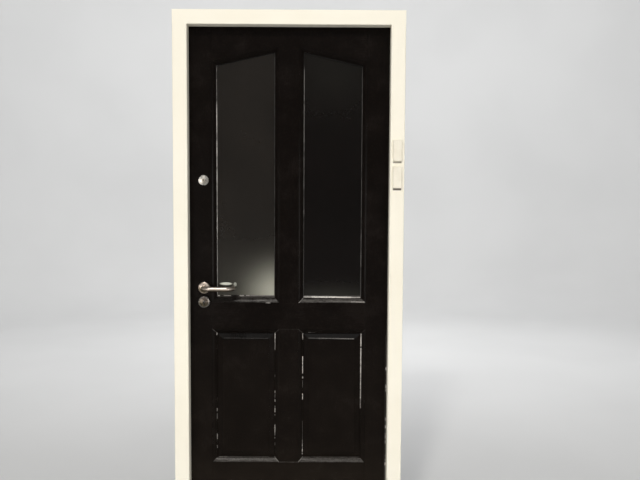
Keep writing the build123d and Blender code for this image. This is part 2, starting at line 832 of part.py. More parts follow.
def escutcheon(out):
    """Rose with a keyhole."""
    return rose(KEY_Z, out) - keyhole(0, LEAF_BACK + LEVER_STAND)


# Night latch

def cylinder_ring():
    """Ring round the cylinder on the outside of the leaf."""
    front = LEAF_FRONT - RING_THICK
    ring = rod_y(RING_R, NIGHT_X, NIGHT_Z, LEAF_FRONT, front)
    ring = chamfer(edges_on(ring, Axis.Y, front), RING_EASE)
    gap = CYLINDER_R + CYLINDER_HOLE_GAP
    return ring - rod_y(gap, NIGHT_X, NIGHT_Z, front - CUT_PAST, LEAF_BACK)


def plug_bar(extra):
    """The cylinder's plug, or its bore with the extra added."""
    front = LEAF_FRONT - CYLINDER_PROUD - PLUG_PROUD
    return rod_y(PLUG_R + extra, NIGHT_X, NIGHT_Z, front - extra, LEAF_BACK - PLUG_BACK_GAP)


def tail_bar():
    """Connecting bar from the plug into the night latch."""
    reach = LEAF_BACK + TAIL_REACH
    half_x, half_z = TAIL_THICK / 2, TAIL_WIDE / 2
    back = LEAF_BACK - PLUG_BACK_GAP
    low, high = NIGHT_Z - half_z, NIGHT_Z + half_z
    return block(NIGHT_X - half_x, NIGHT_X + half_x, back, reach, low, high)


def cylinder_plug():
    """Plug with its keyway and connecting bar."""
    front = LEAF_FRONT - CYLINDER_PROUD - PLUG_PROUD
    half = KEYWAY_WIDE / 2
    keyway = block(
        NIGHT_X - half,
        NIGHT_X + half,
        front - CUT_PAST,
        front + KEYWAY_DEEP,
        NIGHT_Z - KEYWAY_HIGH / 2,
        NIGHT_Z + KEYWAY_HIGH / 2,
    )
    return plug_bar(0) + tail_bar() - keyway


def cylinder_body():
    """Cylinder through the stile, seated on the night latch inside."""
    front = LEAF_FRONT - CYLINDER_PROUD
    body = rod_y(CYLINDER_R, NIGHT_X, NIGHT_Z, front, LEAF_BACK)
    body = chamfer(edges_on(body, Axis.Y, front), RING_EASE)
    back = rod_y(TAIL_HOLE_R, NIGHT_X, NIGHT_Z, LEAF_BACK - 2 * PLUG_BACK_GAP, LEAF_BACK + CUT_PAST)
    return body - plug_bar(PLUG_CLEAR) - back


def night_channel():
    """Room for the night latch bolt in its case."""
    far = -LEAF_X + NIGHT_BOLT_TAIL + NIGHT_BOLT_OUT + BOLT_BACK_GAP
    half = NIGHT_BOLT_HIGH / 2 + BOLT_GAP
    near_y = NIGHT_BOLT_Y - BOLT_GAP
    far_y = NIGHT_BOLT_Y + NIGHT_BOLT_THICK + BOLT_GAP
    near = -LEAF_X - CUT_PAST
    return block(near, far, near_y, far_y, NIGHT_Z - half, NIGHT_Z + half)


def night_case():
    """Case of the night latch on the inner face of the leaf."""
    far = NIGHT_CASE_X + NIGHT_CASE_LONG
    half = NIGHT_CASE_HIGH / 2
    case = block(NIGHT_CASE_X, far, LEAF_BACK, NIGHT_CASE_Y, NIGHT_Z - half, NIGHT_Z + half)
    case = fillet(edges_on(case, Axis.Y, NIGHT_CASE_Y), NIGHT_CASE_ROUND)
    stem_y = NIGHT_CASE_Y - KNOB_STEM_IN - STEM_GAP
    tail_y = LEAF_BACK + TAIL_REACH + STEM_GAP
    case -= rod_y(KNOB_STEM_R + STEM_GAP, NIGHT_X, NIGHT_Z, stem_y, NIGHT_CASE_Y + CUT_PAST)
    case -= rod_y(TAIL_HOLE_R, NIGHT_X, NIGHT_Z, LEAF_BACK - CUT_PAST, tail_y)
    return case - night_channel() - snib_slot()


def snib_block(grow, travel):
    """Snib button, or its slot with the growth and the travel added."""
    middle = NIGHT_X + SNIB_TRAVEL
    half = SNIB_LONG / 2 + grow
    low = NIGHT_Z + SNIB_UP - SNIB_HIGH / 2 - grow
    high = NIGHT_Z + SNIB_UP + SNIB_HIGH / 2 + grow
    deep = NIGHT_CASE_Y - SNIB_IN - grow
    return block(middle - half, middle + half + travel, deep, NIGHT_CASE_Y + SNIB_PROUD, low, high)


def snib_slot():
    """Slot in the night latch case that the snib slides along."""
    return snib_block(SNIB_GAP, SNIB_TRAVEL)


def night_knob():
    """Turn knob with a thumb grip across it."""
    near = NIGHT_CASE_Y + KNOB_STAND
    far = near + KNOB_THICK
    knob = rod_y(KNOB_STEM_R, NIGHT_X, NIGHT_Z, NIGHT_CASE_Y - KNOB_STEM_IN, near)
    knob += rod_y(KNOB_R, NIGHT_X, NIGHT_Z, near, far)
    half_x = KNOB_GRIP_THICK / 2
    half_z = KNOB_R - KNOB_GRIP_SHORT
    low, high = NIGHT_Z - half_z, NIGHT_Z + half_z
    return knob + block(NIGHT_X - half_x, NIGHT_X + half_x, far, far + KNOB_GRIP_HIGH, low, high)


def night_bolt():
    """Bolt of the night latch, bevelled like the latch bolt."""
    return nosed_bolt(
        NIGHT_BOLT_OUT,
        NIGHT_BOLT_TAIL,
        NIGHT_BOLT_Y,
        NIGHT_BOLT_THICK,
        NIGHT_BOLT_FLAT,
        NIGHT_Z,
        NIGHT_BOLT_HIGH,
    )


def night_keep():
    """Staple on the inner face of the lock jamb that holds the night latch bolt."""
    near = -REBATE_X - STAPLE_FROM_EDGE
    far = near - STAPLE_WIDE
    half = STAPLE_HIGH / 2
    keep = block(near, far, FRAME_DEEP, NIGHT_CASE_Y, NIGHT_Z - half, NIGHT_Z + half)
    keep = fillet(edges_on(keep, Axis.Y, NIGHT_CASE_Y), STAPLE_ROUND)
    inner = half - STAPLE_WALL
    mouth, foot_y = near + CUT_PAST, FRAME_DEEP - CUT_PAST
    depth_y = NIGHT_CASE_Y - STAPLE_WALL
    low, high = NIGHT_Z - inner, NIGHT_Z + inner
    return keep - block(mouth, far + STAPLE_WALL, foot_y, depth_y, low, high)


# Small boxes on the jamb

def jamb_box(low, high):
    """Small plastic box with rounded corners on the face of the hinge jamb."""
    near = SIGHT_X + JAMB_BOX_IN
    box = block(near, near + JAMB_BOX_WIDE, -JAMB_BOX_THICK, 0, low, low + high)
    box = fillet(box.edges().filter_by(Axis.Y), JAMB_BOX_ROUND)
    return fillet(edges_on(box, Axis.Y, -JAMB_BOX_THICK), JAMB_BOX_EASE)


# The frame and what is fixed to it
parts["sill"] = sill()
parts["water_bar"] = water_bar()
parts["head"] = head_bar() - seal_head() - seal_post(-1) - seal_post(1)
parts["weather_seal"] = seal_post(-1) + seal_post(1) + seal_head()
parts["lock_jamb"] = jamb(-1) - keep_block() - keep_pockets()
parts["hinge_jamb"] = jamb(1)
parts["mortice_keep"] = keep_block() - keep_pockets()
parts["night_latch_keep"] = night_keep()
parts["lower_jamb_box"] = jamb_box(LOWER_BOX_UP, LOWER_BOX_HIGH)
parts["upper_jamb_box"] = jamb_box(LOWER_BOX_UP + LOWER_BOX_HIGH + BOXES_APART, UPPER_BOX_HIGH)

# The leaf's joinery
parts["lock_stile"] = stile()
parts["hinge_stile"] = mirror(stile(), about=Plane.YZ)
parts["top_rail"] = top_rail()
parts["lock_rail"] = lock_rail()
parts["bottom_rail"] = bottom_rail()
parts["upper_muntin"] = muntin(PANE, PANE_FLAT, pane_cuts)
parts["lower_muntin"] = muntin(PANEL, PANEL_FLAT, panel_cuts)
for name, pane, panel in (("left", PANE, PANEL), ("right", mirrored(PANE), mirrored(PANEL))):
    parts[name + "_glass"] = glass(pane)
    parts[name + "_panel"] = raised_panel(panel)
    parts[name + "_weather_bead"] = weather_bead(pane)
    parts[name + "_bottom_bead"] = glazing_bead(pane, BOTTOM)
    parts[name + "_muntin_bead"] = glazing_bead(pane, MUNTIN_SIDE)
    parts[name + "_top_bead"] = glazing_bead(pane, TOP)
    parts[name + "_stile_bead"] = glazing_bead(pane, STILE_SIDE)

# Hinges
pins = []
for name, z in hinge_heights().items():
    parts[name + "_hinge_frame_plate"] = hinge_plate(REBATE_X, z, 0)
    parts[name + "_hinge_leaf_plate"] = hinge_plate(LEAF_X, z, 1)
    parts["hinge_jamb"] -= plate_recess(REBATE_X, z)
    parts["hinge_stile"] -= plate_recess(LEAF_X, z)
    pins.append(hinge_pin(z))
parts["hinge_pins"] = Compound(children=pins)

# Sashlock and its handles
past = LEAF_BACK + CUT_PAST
parts["lock_case"] = lock_case()
parts["lock_forend"] = lock_forend()
parts["follower"] = follower()
parts["latch_bolt"] = latch_bolt()
parts["deadbolt"] = deadbolt()
parts["spindle"] = spindle_bar(0)
parts["lock_stile"] -= case_block() + forend_block() + keyhole(LEAF_FRONT - CUT_PAST, past)
parts["lock_stile"] -= rod_y(SPINDLE_HOLE_R, LEVER_X, LEVER_Z, LEAF_FRONT - CUT_PAST, past)
for name, out in (("outer", -1), ("inner", 1)):
    parts[name + "_lever"] = lever(out)
    parts[name + "_lever_rose"] = lever_rose(out)
    parts[name + "_escutcheon"] = escutcheon(out)

# Night latch
hole = CYLINDER_R + CYLINDER_HOLE_GAP
parts["lock_stile"] -= rod_y(hole, NIGHT_X, NIGHT_Z, LEAF_FRONT - CUT_PAST, past)
parts["cylinder_ring"] = cylinder_ring()
parts["cylinder_body"] = cylinder_body()
parts["cylinder_plug"] = cylinder_plug()
parts["night_latch_case"] = night_case()
parts["night_latch_bolt"] = night_bolt()
parts["night_latch_knob"] = night_knob()
parts["night_latch_snib"] = snib_block(0, 0)

os.makedirs("parts", exist_ok=True)
for name, shape in parts.items():
    export_step(shape, f"parts/{name}.step")
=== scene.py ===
import math

import bpy
from mathutils import Matrix, Vector


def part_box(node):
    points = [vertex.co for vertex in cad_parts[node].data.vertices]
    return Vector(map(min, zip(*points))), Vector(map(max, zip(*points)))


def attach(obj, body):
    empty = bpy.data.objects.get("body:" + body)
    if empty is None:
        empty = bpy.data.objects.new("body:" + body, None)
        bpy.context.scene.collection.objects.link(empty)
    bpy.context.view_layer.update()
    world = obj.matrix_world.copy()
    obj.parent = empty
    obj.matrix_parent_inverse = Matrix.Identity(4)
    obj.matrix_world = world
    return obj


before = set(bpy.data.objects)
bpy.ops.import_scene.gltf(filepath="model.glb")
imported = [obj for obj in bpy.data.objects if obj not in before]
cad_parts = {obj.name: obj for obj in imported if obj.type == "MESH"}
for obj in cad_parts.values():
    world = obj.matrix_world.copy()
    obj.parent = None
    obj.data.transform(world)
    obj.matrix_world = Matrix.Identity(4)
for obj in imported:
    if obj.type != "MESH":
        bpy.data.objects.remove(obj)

# Panelled front door in its frame. Metres, in the frame of the solids:
# +X right and +Z up as seen from outside, and -Y is outside.
bpy.ops.object.select_all(action="DESELECT")
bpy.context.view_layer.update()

# Places in the solids: the glass, the frame's rebate, the leaf, its panes and its panels
GLASS_FACE = 0.070
REBATE = 0.4095
LEAF_EDGE = 0.4065
PANE_STILE = 0.2915
PANE_MUNTIN = 0.0575
PANE_FOOT = 1.009
PANE_SPRING = 1.937
PANE_PEAK = 1.990
PANEL_FOOT = 0.351
PANEL_HEAD = 0.864
MOULD_WIDE = 0.018

# Where the flats of the stiles, the muntins and the rails begin, beyond the mouldings
STILE_FLAT = PANE_STILE + MOULD_WIDE
MUNTIN_FLAT = PANE_MUNTIN - MOULD_WIDE
PANE_FLAT = PANE_FOOT - MOULD_WIDE
LOW_FLAT = PANEL_FOOT - MOULD_WIDE
HIGH_FLAT = PANEL_HEAD + MOULD_WIDE

# Middles of the round plates, as x and z
FURNITURE_X = -0.3415
LEVER_ROSE = (FURNITURE_X, 1.050)
KEYHOLE = (FURNITURE_X, 0.993)
CYLINDER = (FURNITURE_X, 1.482)

# The way that a piece, its grain or a line runs
STAND, LIE = "z", "x"


# Finishes

BLACK = (0.0036, 0.0024, 0.0019, 1)
BLACK_DUSTY = (0.0066, 0.0046, 0.0038, 1)
BLACK_SHADED = (0.0008, 0.0006, 0.0005, 1)
BLACK_JOINT = (0.0016, 0.0012, 0.001, 1)
SKY_SHEEN_AND_DUST = (0.086, 0.080, 0.074, 1)
SPLASH_AND_FLOOR_SHEEN = (0.0140, 0.0106, 0.0078, 1)
BARE_AND_HIGHLIGHT = (0.66, 0.62, 0.58, 1)

CREAM = (0.945, 0.902, 0.785, 1)
CREAM_AGED = (0.915, 0.866, 0.740, 1)
CREAM_BRUSHED = (0.86, 0.80, 0.67, 1)
CREAM_SPOT = (0.42, 0.36, 0.28, 1)
GRIME = (0.48, 0.41, 0.31, 1)
PAINTED_SHADOW = (0.085, 0.062, 0.050, 1)

PANE_GLOW = (0.63, 0.625, 0.525, 1)
PANE_REFLECTION = (0.72, 0.72, 0.64, 1)
PANE_FROST = (0.060, 0.052, 0.044, 1)

PLASTIC = (0.90, 0.85, 0.73, 1)
PLASTIC_YELLOWED = (0.84, 0.785, 0.66, 1)
RUBBER_PORE = (0.012, 0.012, 0.012, 1)
RUBBER = (0.035, 0.034, 0.032, 1)
SEALANT_PAINTED = (0.0065, 0.0055, 0.0045, 1)
SEALANT_HIGHLIGHT = (0.78, 0.75, 0.71, 1)
PAPER = (0.640, 0.645, 0.650, 1)
PAPER_SHADED = (0.615, 0.620, 0.625, 1)

# Least and most roughness of each finish
BLACK_ROUGH = (0.17, 0.30)
CREAM_ROUGH = (0.36, 0.52)
GLASS_ROUGH = (0.04, 0.07)
DISC_ROUGH = (0.22, 0.36)
PLASTIC_ROUGH = (0.32, 0.45)
RUBBER_ROUGH = (0.7, 0.9)
SEALANT_ROUGH = (0.4, 0.6)

# How noise is squeezed across brush strokes and scratches, which run along the axis of 1
BRUSHED = {LIE: (1, 14, 14), STAND: (14, 14, 1)}
SCRATCHED_ACROSS = (1, 30, 30)
SCRATCHED_IN = (30, 1, 30)
SCRATCHED_UP = (30, 30, 1)
SCRATCHED_ALL_WAYS = (12, 12, 12)
SCRATCHED_DISC = (2, 30, 30)

# Between which slopes a ledge goes from clean to dusty, the dust also being a painted sky sheen, 1
# being level
FACING_UP = (0.04, 0.42)

# Soft ends of a worn mark and of a dusty run, and the firm and soft shares of a mark's half width
MARK_SOFT = 0.002
RUN_SOFT = 0.03
MARK_FIRM_SHARE = 0.6
MARK_SOFT_SHARE = 0.8

# Joint between rail and stile: half width, soft edge and how deep it shows
JOINT_HALF = 0.0002
JOINT_SOFT = 0.0011
JOINT_DEEP = 1.6

# Depths that part the outer faces from the inner ones: of the leaf, the frame and the glass
LEAF_OUTSIDE = (GLASS_FACE, GLASS_FACE + 0.004)
FRAME_OUTSIDE = (0.006, 0.012)
GLASS_OUTSIDE = (GLASS_FACE + 0.0005, GLASS_FACE + 0.0015)

# Steel: how dark its scratches are, and its least and most roughness as shares of the mean
SCRATCH_SHADE = 0.62
LEAST_ROUGH = 0.75
MOST_ROUGH = 1.35

# Discs: the rim's soft edge, how far stains move the painted shade, and the heights it runs between
RIM_SOFT = 0.0027
STAIN_SHIFT = 0.012
DISC_SHADE = (-0.006, 0.014)


class Finish:
    """A material with its shader, and short ways to add nodes to it."""

    def __init__(self, name):
        self.material = bpy.data.materials.new(name)
        self.material.use_nodes = True
        self.tree = self.material.node_tree
        self.shader = self.tree.nodes["Principled BSDF"]
        self.place = self.tree.nodes.new("ShaderNodeTexCoord").outputs["Object"]
        parted = self.tree.nodes.new("ShaderNodeSeparateXYZ")
        self.join(self.place, parted.inputs[0])
        self.x, self.y, self.z = parted.outputs

    def join(self, value, socket):
        """Sets a socket to a number or colour, or links it to another node."""
        if isinstance(value, bpy.types.NodeSocket):
            self.tree.links.new(value, socket)
        else:
            socket.default_value = value

    def set(self, **values):
        """Sets the shader's own sockets, with spaces written as underscores."""
        for name, value in values.items():
            self.join(value, self.shader.inputs[name.replace("_", " ")])

    def math(self, operation, a, b=0.0, c=0.0):
        """One step of arithmetic."""
        node = self.tree.nodes.new("ShaderNodeMath")
        node.operation = operation
        for value, socket in zip((a, b, c), node.inputs):
            self.join(value, socket)
        return node.outputs[0]

    def times(self, a, b):
        """Product of two values."""
        return self.math("MULTIPLY", a, b)

    def most(self, shares):
        """The largest of several shares."""
        total = shares[0]
        for share in shares[1:]:
            total = self.math("MAXIMUM", total, share)
        return total

    def stretched(self, scale):
        """The place on the piece, stretched along each axis."""
        node = self.tree.nodes.new("ShaderNodeMapping")
        self.join(self.place, node.inputs["Vector"])
        node.inputs["Scale"].default_value = scale
        return node.outputs[0]

    def noise(self, scale, detail, rough, stretch=None):
        """Soft noise from 0 to 1, so many cells to the metre."""
        node = self.tree.nodes.new("ShaderNodeTexNoise")
        self.join(self.stretched(stretch) if stretch else self.place, node.inputs["Vector"])
        node.inputs["Scale"].default_value = scale
        node.inputs["Detail"].default_value = detail
        node.inputs["Roughness"].default_value = rough
        return node.outputs["Fac"]

    def spread(self, value, low, high, to_low=0.0, to_high=1.0):
        """Smooth step from one range to another."""
        node = self.tree.nodes.new("ShaderNodeMapRange")
        node.interpolation_type = "SMOOTHSTEP"
        for item, socket in zip((value, low, high, to_low, to_high), node.inputs):
            self.join(item, socket)
        return node.outputs[0]

    def mixed(self, share, a, b):
        """Colour between two others."""
        node = self.tree.nodes.new("ShaderNodeMix")
        node.data_type = "RGBA"
        self.join(share, node.inputs["Factor"])
        self.join(a, node.inputs[6])
        self.join(b, node.inputs[7])
        return node.outputs[2]

    def bump(self, height, strength, distance, under=None):
        """Normal bent by a height map."""
        node = self.tree.nodes.new("ShaderNodeBump")
        node.inputs["Strength"].default_value = strength
        node.inputs["Distance"].default_value = distance
        self.join(height, node.inputs["Height"])
        if under is not None:
            self.join(under, node.inputs["Normal"])
        return node.outputs[0]

    def slope(self):
        """How far the surface faces up, from -1 when it faces down to 1."""
        node = self.tree.nodes.new("ShaderNodeNewGeometry")
        parted = self.tree.nodes.new("ShaderNodeSeparateXYZ")
        self.join(node.outputs["Normal"], parted.inputs[0])
        return parted.outputs[2]

    def outside(self, front, behind):
        """1 outside of one depth, falling to 0 at a depth behind it."""
        return self.spread(self.y, front, behind, 1.0, 0.0)

    def oval(self, x, z, wide, high):
        """Square of the distance from a place on the face, where 1 is an oval's edge."""
        across = self.math("DIVIDE", self.math("SUBTRACT", self.x, x), wide)
        up = self.math("DIVIDE", self.math("SUBTRACT", self.z, z), high)
        return self.math("MULTIPLY_ADD", across, across, self.times(up, up))

    def near(self, value, middle, half, soft):
        """1 within half of a middle value, falling to 0 over a soft edge."""
        away = self.math("ABSOLUTE", self.math("SUBTRACT", value, middle))
        return self.spread(away, half, half + soft, 1.0, 0.0)

    def between(self, value, low, high, soft):
        """1 from low to high, falling to 0 over a soft edge at both ends."""
        return self.near(value, (low + high) / 2, (high - low) / 2, soft)

    def marks(self, way, place, half, ends):
        """Marks on a line that runs one way at one place, each as low end, high end, strength."""
        along, across = (self.z, self.x) if way == STAND else (self.x, self.z)
        strengths = [
            self.times(self.between(along, low, high, MARK_SOFT), share)
            for low, high, share in ends
        ]
        wide = self.near(across, place, half * MARK_FIRM_SHARE, half * MARK_SOFT_SHARE)
        return self.times(self.most(strengths), wide)

    def stroke(self, start, end, half):
        """1 along a straight line on the face, between two places given as x and z."""
        (x0, z0), (x1, z1) = start, end
        long = math.hypot(x1 - x0, z1 - z0)
        ux, uz = (x1 - x0) / long, (z1 - z0) / long
        mx, mz = (x0 + x1) / 2, (z0 + z1) / 2
        rise = self.math("MULTIPLY_ADD", self.z, uz, -ux * mx - uz * mz)
        along = self.math("MULTIPLY_ADD", self.x, ux, rise)
        drift = self.math("MULTIPLY_ADD", self.z, -ux, ux * mz - uz * mx)
        across = self.math("MULTIPLY_ADD", self.x, uz, drift)
        return self.times(
            self.near(along, 0, long / 2, MARK_SOFT), self.near(across, 0, half, half)
        )


# Where the paint has worn to pale wood: the way a line runs, where it lies, its half width, and
# its marks as low end, high end and strength
MUNTIN_LEFT = (STAND, -0.0570, 0.0018, [
    (0.842, 0.876, 1.00),
    (0.824, 0.838, 0.55),
    (0.796, 0.822, 0.35),
    (0.685, 0.692, 0.12),
    (0.617, 0.625, 0.60),
    (0.598, 0.611, 0.20),
    (0.582, 0.590, 0.60),
    (0.557, 0.563, 0.35),
    (0.538, 0.552, 0.80),
    (0.524, 0.528, 0.20),
    (0.453, 0.484, 0.70),
    (0.441, 0.450, 0.30),
    (0.428, 0.432, 0.25),
    (0.400, 0.409, 0.16),
])
MUNTIN_RIGHT = (STAND, 0.0570, 0.0019, [
    (0.840, 0.862, 0.75),
    (0.700, 0.767, 1.00),
    (0.678, 0.685, 0.60),
    (0.642, 0.668, 0.14),
    (0.591, 0.614, 1.00),
    (0.385, 0.424, 0.22),
    (0.397, 0.404, 0.45),
    (0.373, 0.385, 0.62),
    (0.362, 0.368, 0.40),
    (0.415, 0.500, 0.06),
])
PANEL_LEFT = (STAND, -0.2922, 0.0014, [
    (0.856, 0.884, 0.75),
    (0.541, 0.551, 0.50),
    (0.510, 0.530, 0.25),
    (0.425, 0.445, 0.55),
    (0.388, 0.397, 0.30),
])
PANEL_RIGHT = (STAND, 0.2922, 0.0027, [
    (0.812, 0.862, 1.00),
    (0.700, 0.804, 0.95),
    (0.596, 0.700, 0.66),
    (0.556, 0.598, 0.28),
])
HINGE_EDGE = (STAND, 0.3973, 0.0035, [
    (0.262, 0.318, 0.16),
    (0.322, 0.333, 1.00),
    (0.341, 0.348, 0.40),
    (0.357, 0.363, 0.25),
    (0.414, 0.424, 0.55),
    (0.434, 0.446, 0.60),
    (0.450, 0.455, 0.40),
    (0.476, 0.487, 0.80),
    (0.507, 0.519, 0.55),
    (0.630, 0.638, 0.60),
    (0.643, 0.656, 0.80),
    (0.717, 0.727, 0.85),
])
RAIL_FOOT = (LIE, 0.9895, 0.0014, [(-0.092, -0.076, 0.50)])
RAIL_HEAD = (LIE, 0.8680, 0.0012, [(0.080, 0.088, 0.30), (0.088, 0.106, 0.08)])
LEFT_FOOT = (LIE, 0.3495, 0.0013, [
    (-0.284, -0.252, 0.22),
    (-0.248, -0.190, 0.10),
    (-0.185, -0.080, 0.06),
])
RIGHT_FOOT = (LIE, 0.3495, 0.0013, [
    (0.062, 0.085, 0.10),
    (0.105, 0.160, 0.07),
    (0.165, 0.240, 0.09),
    (0.250, 0.285, 0.07),
])

# Faint worn lines, and painted highlights where noted: two ends as x and z, the half width and the
# strength
FINE = 0.0007
BROAD = 0.0012
HINGE_ARRIS = [
    ((0.3930, 0.110), (0.3934, 0.860), 0.0014, 0.035),
    ((0.3958, 1.000), (0.3960, 1.330), BROAD, 0.025),
]
# Painted highlights along the top edges of the panels' fields, where the bevels catch the light
PANEL_TOP_HIGHLIGHTS = [
    ((0.080, 0.8450), (0.122, 0.8444), 0.0010, 0.10),
    ((0.120, 0.8444), (0.190, 0.8436), 0.0010, 0.20),
    ((0.188, 0.8436), (0.264, 0.8428), 0.0011, 0.26),
    ((-0.262, 0.8440), (-0.085, 0.8430), 0.0010, 0.035),
]
SEAMS_BELOW = [
    ((-MUNTIN_FLAT, LOW_FLAT), (MUNTIN_FLAT, LOW_FLAT), FINE, 0.075),
    ((-PANE_MUNTIN, PANEL_FOOT), (-MUNTIN_FLAT, LOW_FLAT), BROAD, 0.20),
    ((PANE_MUNTIN, PANEL_FOOT), (MUNTIN_FLAT, LOW_FLAT), BROAD, 0.16),
    ((-0.250, LOW_FLAT + 0.0045), (-0.070, LOW_FLAT + 0.0040), 0.0008, 0.06),
    ((0.070, LOW_FLAT + 0.0045), (0.285, LOW_FLAT + 0.0035), 0.0008, 0.07),
]
SEAMS_ABOVE = [
    ((-MUNTIN_FLAT, HIGH_FLAT), (MUNTIN_FLAT, HIGH_FLAT), FINE, 0.020),
    ((-PANE_MUNTIN, PANEL_HEAD), (-MUNTIN_FLAT, HIGH_FLAT), FINE, 0.045),
    ((PANE_MUNTIN, PANEL_HEAD), (MUNTIN_FLAT, HIGH_FLAT), FINE, 0.060),
]
LEFT_SEAM = [((-PANE_STILE, PANEL_HEAD), (-STILE_FLAT, HIGH_FLAT), FINE, 0.12)]
RIGHT_SEAM = [((PANE_STILE, PANEL_HEAD), (STILE_FLAT, HIGH_FLAT), FINE, 0.035)]
# Seams at the mitres under the panes, and painted highlights along the ledges' lower front edges
LEDGE_SEAMS_AND_HIGHLIGHTS = [
    ((PANE_MUNTIN, PANE_FOOT), (MUNTIN_FLAT, PANE_FLAT), BROAD, 0.34),
    ((PANE_STILE - 0.040, PANE_FLAT + 0.004), (STILE_FLAT - 0.002, PANE_FLAT + 0.003), BROAD, 0.42),
    ((0.150, PANE_FLAT + 0.006), (0.252, PANE_FLAT + 0.004), 0.0010, 0.12),
]
# Painted highlights on the tops of the weather beads, where their slopes catch the light
WEATHER_BEAD_HIGHLIGHTS = [
    ((0.060, 1.0130), (0.094, 1.0126), 0.0018, 0.55),
    ((0.092, 1.0126), (0.156, 1.0120), 0.0020, 1.00),
    ((0.160, 1.0120), (0.252, 1.0110), 0.0020, 1.00),
    ((0.250, 1.0110), (0.288, 1.0106), 0.0018, 0.50),
    ((-0.289, 1.0160), (-0.281, 1.0160), 0.0016, 0.45),
    ((-0.264, 1.0162), (-0.237, 1.0160), BROAD, 0.28),
    ((-0.200, 1.0164), (-0.184, 1.0164), BROAD, 0.45),
    ((-0.173, 1.0164), (-0.161, 1.0164), BROAD, 0.35),
    ((-0.160, 1.0166), (-0.060, 1.0164), BROAD, 0.20),
]

# Painted shadows below the boxes on the jamb, given as the seams are
SHADOWS_UNDER_BOXES = [
    ((0.4105, 1.4495), (0.4415, 1.4495), 0.0026, 0.90),
    ((0.4105, 1.5552), (0.4415, 1.5552), 0.0024, 0.62),
]

# How dusty the ledges are, the dust also being a painted sky sheen, from left to right: low end,
# high end and share
SHEEN_AND_DUST_THROUGHOUT = ((-1.0, 1.0, 0.8),)
LEDGE_SHEEN_AND_DUST = (
    (-0.330, -0.240, 0.10),
    (-0.190, -0.165, 0.50),
    (-0.125, -0.040, 0.80),
    (0.030, 0.340, 0.80),
)
BEAD_SHEEN_AND_DUST = ((-0.300, -0.240, 0.15), (-0.190, -0.050, 0.70), (0.050, 0.300, 0.75))


def black_paint(name, grain, worn=(), seams_and_highlights=(), shoulders=(), sheen_and_dust=SHEEN_AND_DUST_THROUGHOUT):
    """Black gloss brushed on wood. grain is the way the piece runs.

    worn and seams are its worn marks and its faint lines, some of the lines being painted
    highlights;
    shoulders the x of the joints that show in it; and dusty the dust on its ledges, which is also
    a painted sky sheen. With no dust, faces that look up are painted darker, a painted shade.
    """
    paint = Finish(name)
    dust = paint.noise(9, detail=6, rough=0.62)
    brush = paint.noise(42, detail=4, rough=0.6, stretch=BRUSHED[grain])
    speck = paint.noise(130, detail=3, rough=0.6)
    peel = paint.noise(420, detail=2, rough=0.5)
    ripple = paint.noise(3.2, detail=2, rough=0.5)
    colour = paint.mixed(paint.spread(dust, 0.42, 0.72), BLACK, BLACK_DUSTY)
    colour = paint.mixed(paint.spread(speck, 0.45, 0.80, 0.0, 0.45), colour, SPLASH_AND_FLOOR_SHEEN)

    # Paler towards the ground, a little up to the panes: splashes, with a painted sheen standing in
    # for light from the floor
    many = paint.spread(paint.z, 0.24, 0.44, 0.60, 0.0)
    few = paint.spread(paint.z, 0.60, 1.00, 0.30, 0.0)
    low = paint.math("ADD", many, few)
    splash_and_floor_sheen = paint.times(low, paint.spread(dust, 0.25, 0.6, 0.6, 1))
    colour = paint.mixed(splash_and_floor_sheen, colour, SPLASH_AND_FLOOR_SHEEN)

    # Dust on ledges that look up, painted paler also as a stand-in for the sky's sheen on them
    if sheen_and_dust:
        runs = [
            paint.times(paint.between(paint.x, left, right, RUN_SOFT), share)
            for left, right, share in sheen_and_dust
        ]
        settled_and_sheen = paint.times(paint.spread(paint.slope(), *FACING_UP), paint.most(runs))
        settled_and_sheen = paint.times(settled_and_sheen, paint.spread(brush, 0.36, 0.62, 0.30, 1.2))
        settled_and_sheen = paint.times(settled_and_sheen, paint.spread(speck, 0.32, 0.66, 0.60, 1.25))
        colour = paint.mixed(settled_and_sheen, colour, SKY_SHEEN_AND_DUST)
    else:
        # Painted shade: with no dust, faces that look up are painted darker
        painted_shade_up = paint.spread(paint.slope(), *FACING_UP, 0.0, 0.75)
        colour = paint.mixed(painted_shade_up, colour, BLACK_SHADED)

    uneven = paint.math("MULTIPLY_ADD", brush, 0.5, dust)
    rough = paint.spread(uneven, 0.5, 1.0, *BLACK_ROUGH)
    height = paint.math("MULTIPLY_ADD", brush, 0.5, paint.times(peel, 0.12))
    height = paint.math("MULTIPLY_ADD", ripple, 0.7, height)
    for place in shoulders:
        groove = paint.near(paint.x, place, JOINT_HALF, JOINT_SOFT)
        height = paint.math("SUBTRACT", height, paint.times(groove, JOINT_DEEP))
        colour = paint.mixed(paint.times(groove, 0.7), colour, BLACK_JOINT)

    # Pale marks: worn paint, and painted highlights among the faint lines
    pale = [paint.times(paint.stroke(start, end, half), share) for start, end, half, share in seams_and_highlights]
    pale += [paint.marks(*line) for line in worn]
    if pale:
        ragged = paint.spread(paint.noise(230, detail=4, rough=0.7), 0.34, 0.56, 0.35, 1.0)
        bare_and_highlight = paint.times(paint.most(pale), ragged)
        bare_and_highlight = paint.times(bare_and_highlight, paint.outside(*LEAF_OUTSIDE))
        colour = paint.mixed(bare_and_highlight, colour, BARE_AND_HIGHLIGHT)
        rough = paint.math("MULTIPLY_ADD", bare_and_highlight, 0.3, rough)
        height = paint.math("SUBTRACT", height, paint.times(bare_and_highlight, 0.6))
    paint.set(Base_Color=colour, Roughness=rough, Specular_IOR_Level=0.05)
    paint.set(Normal=paint.bump(height, strength=0.30, distance=0.0005))
    return paint.material


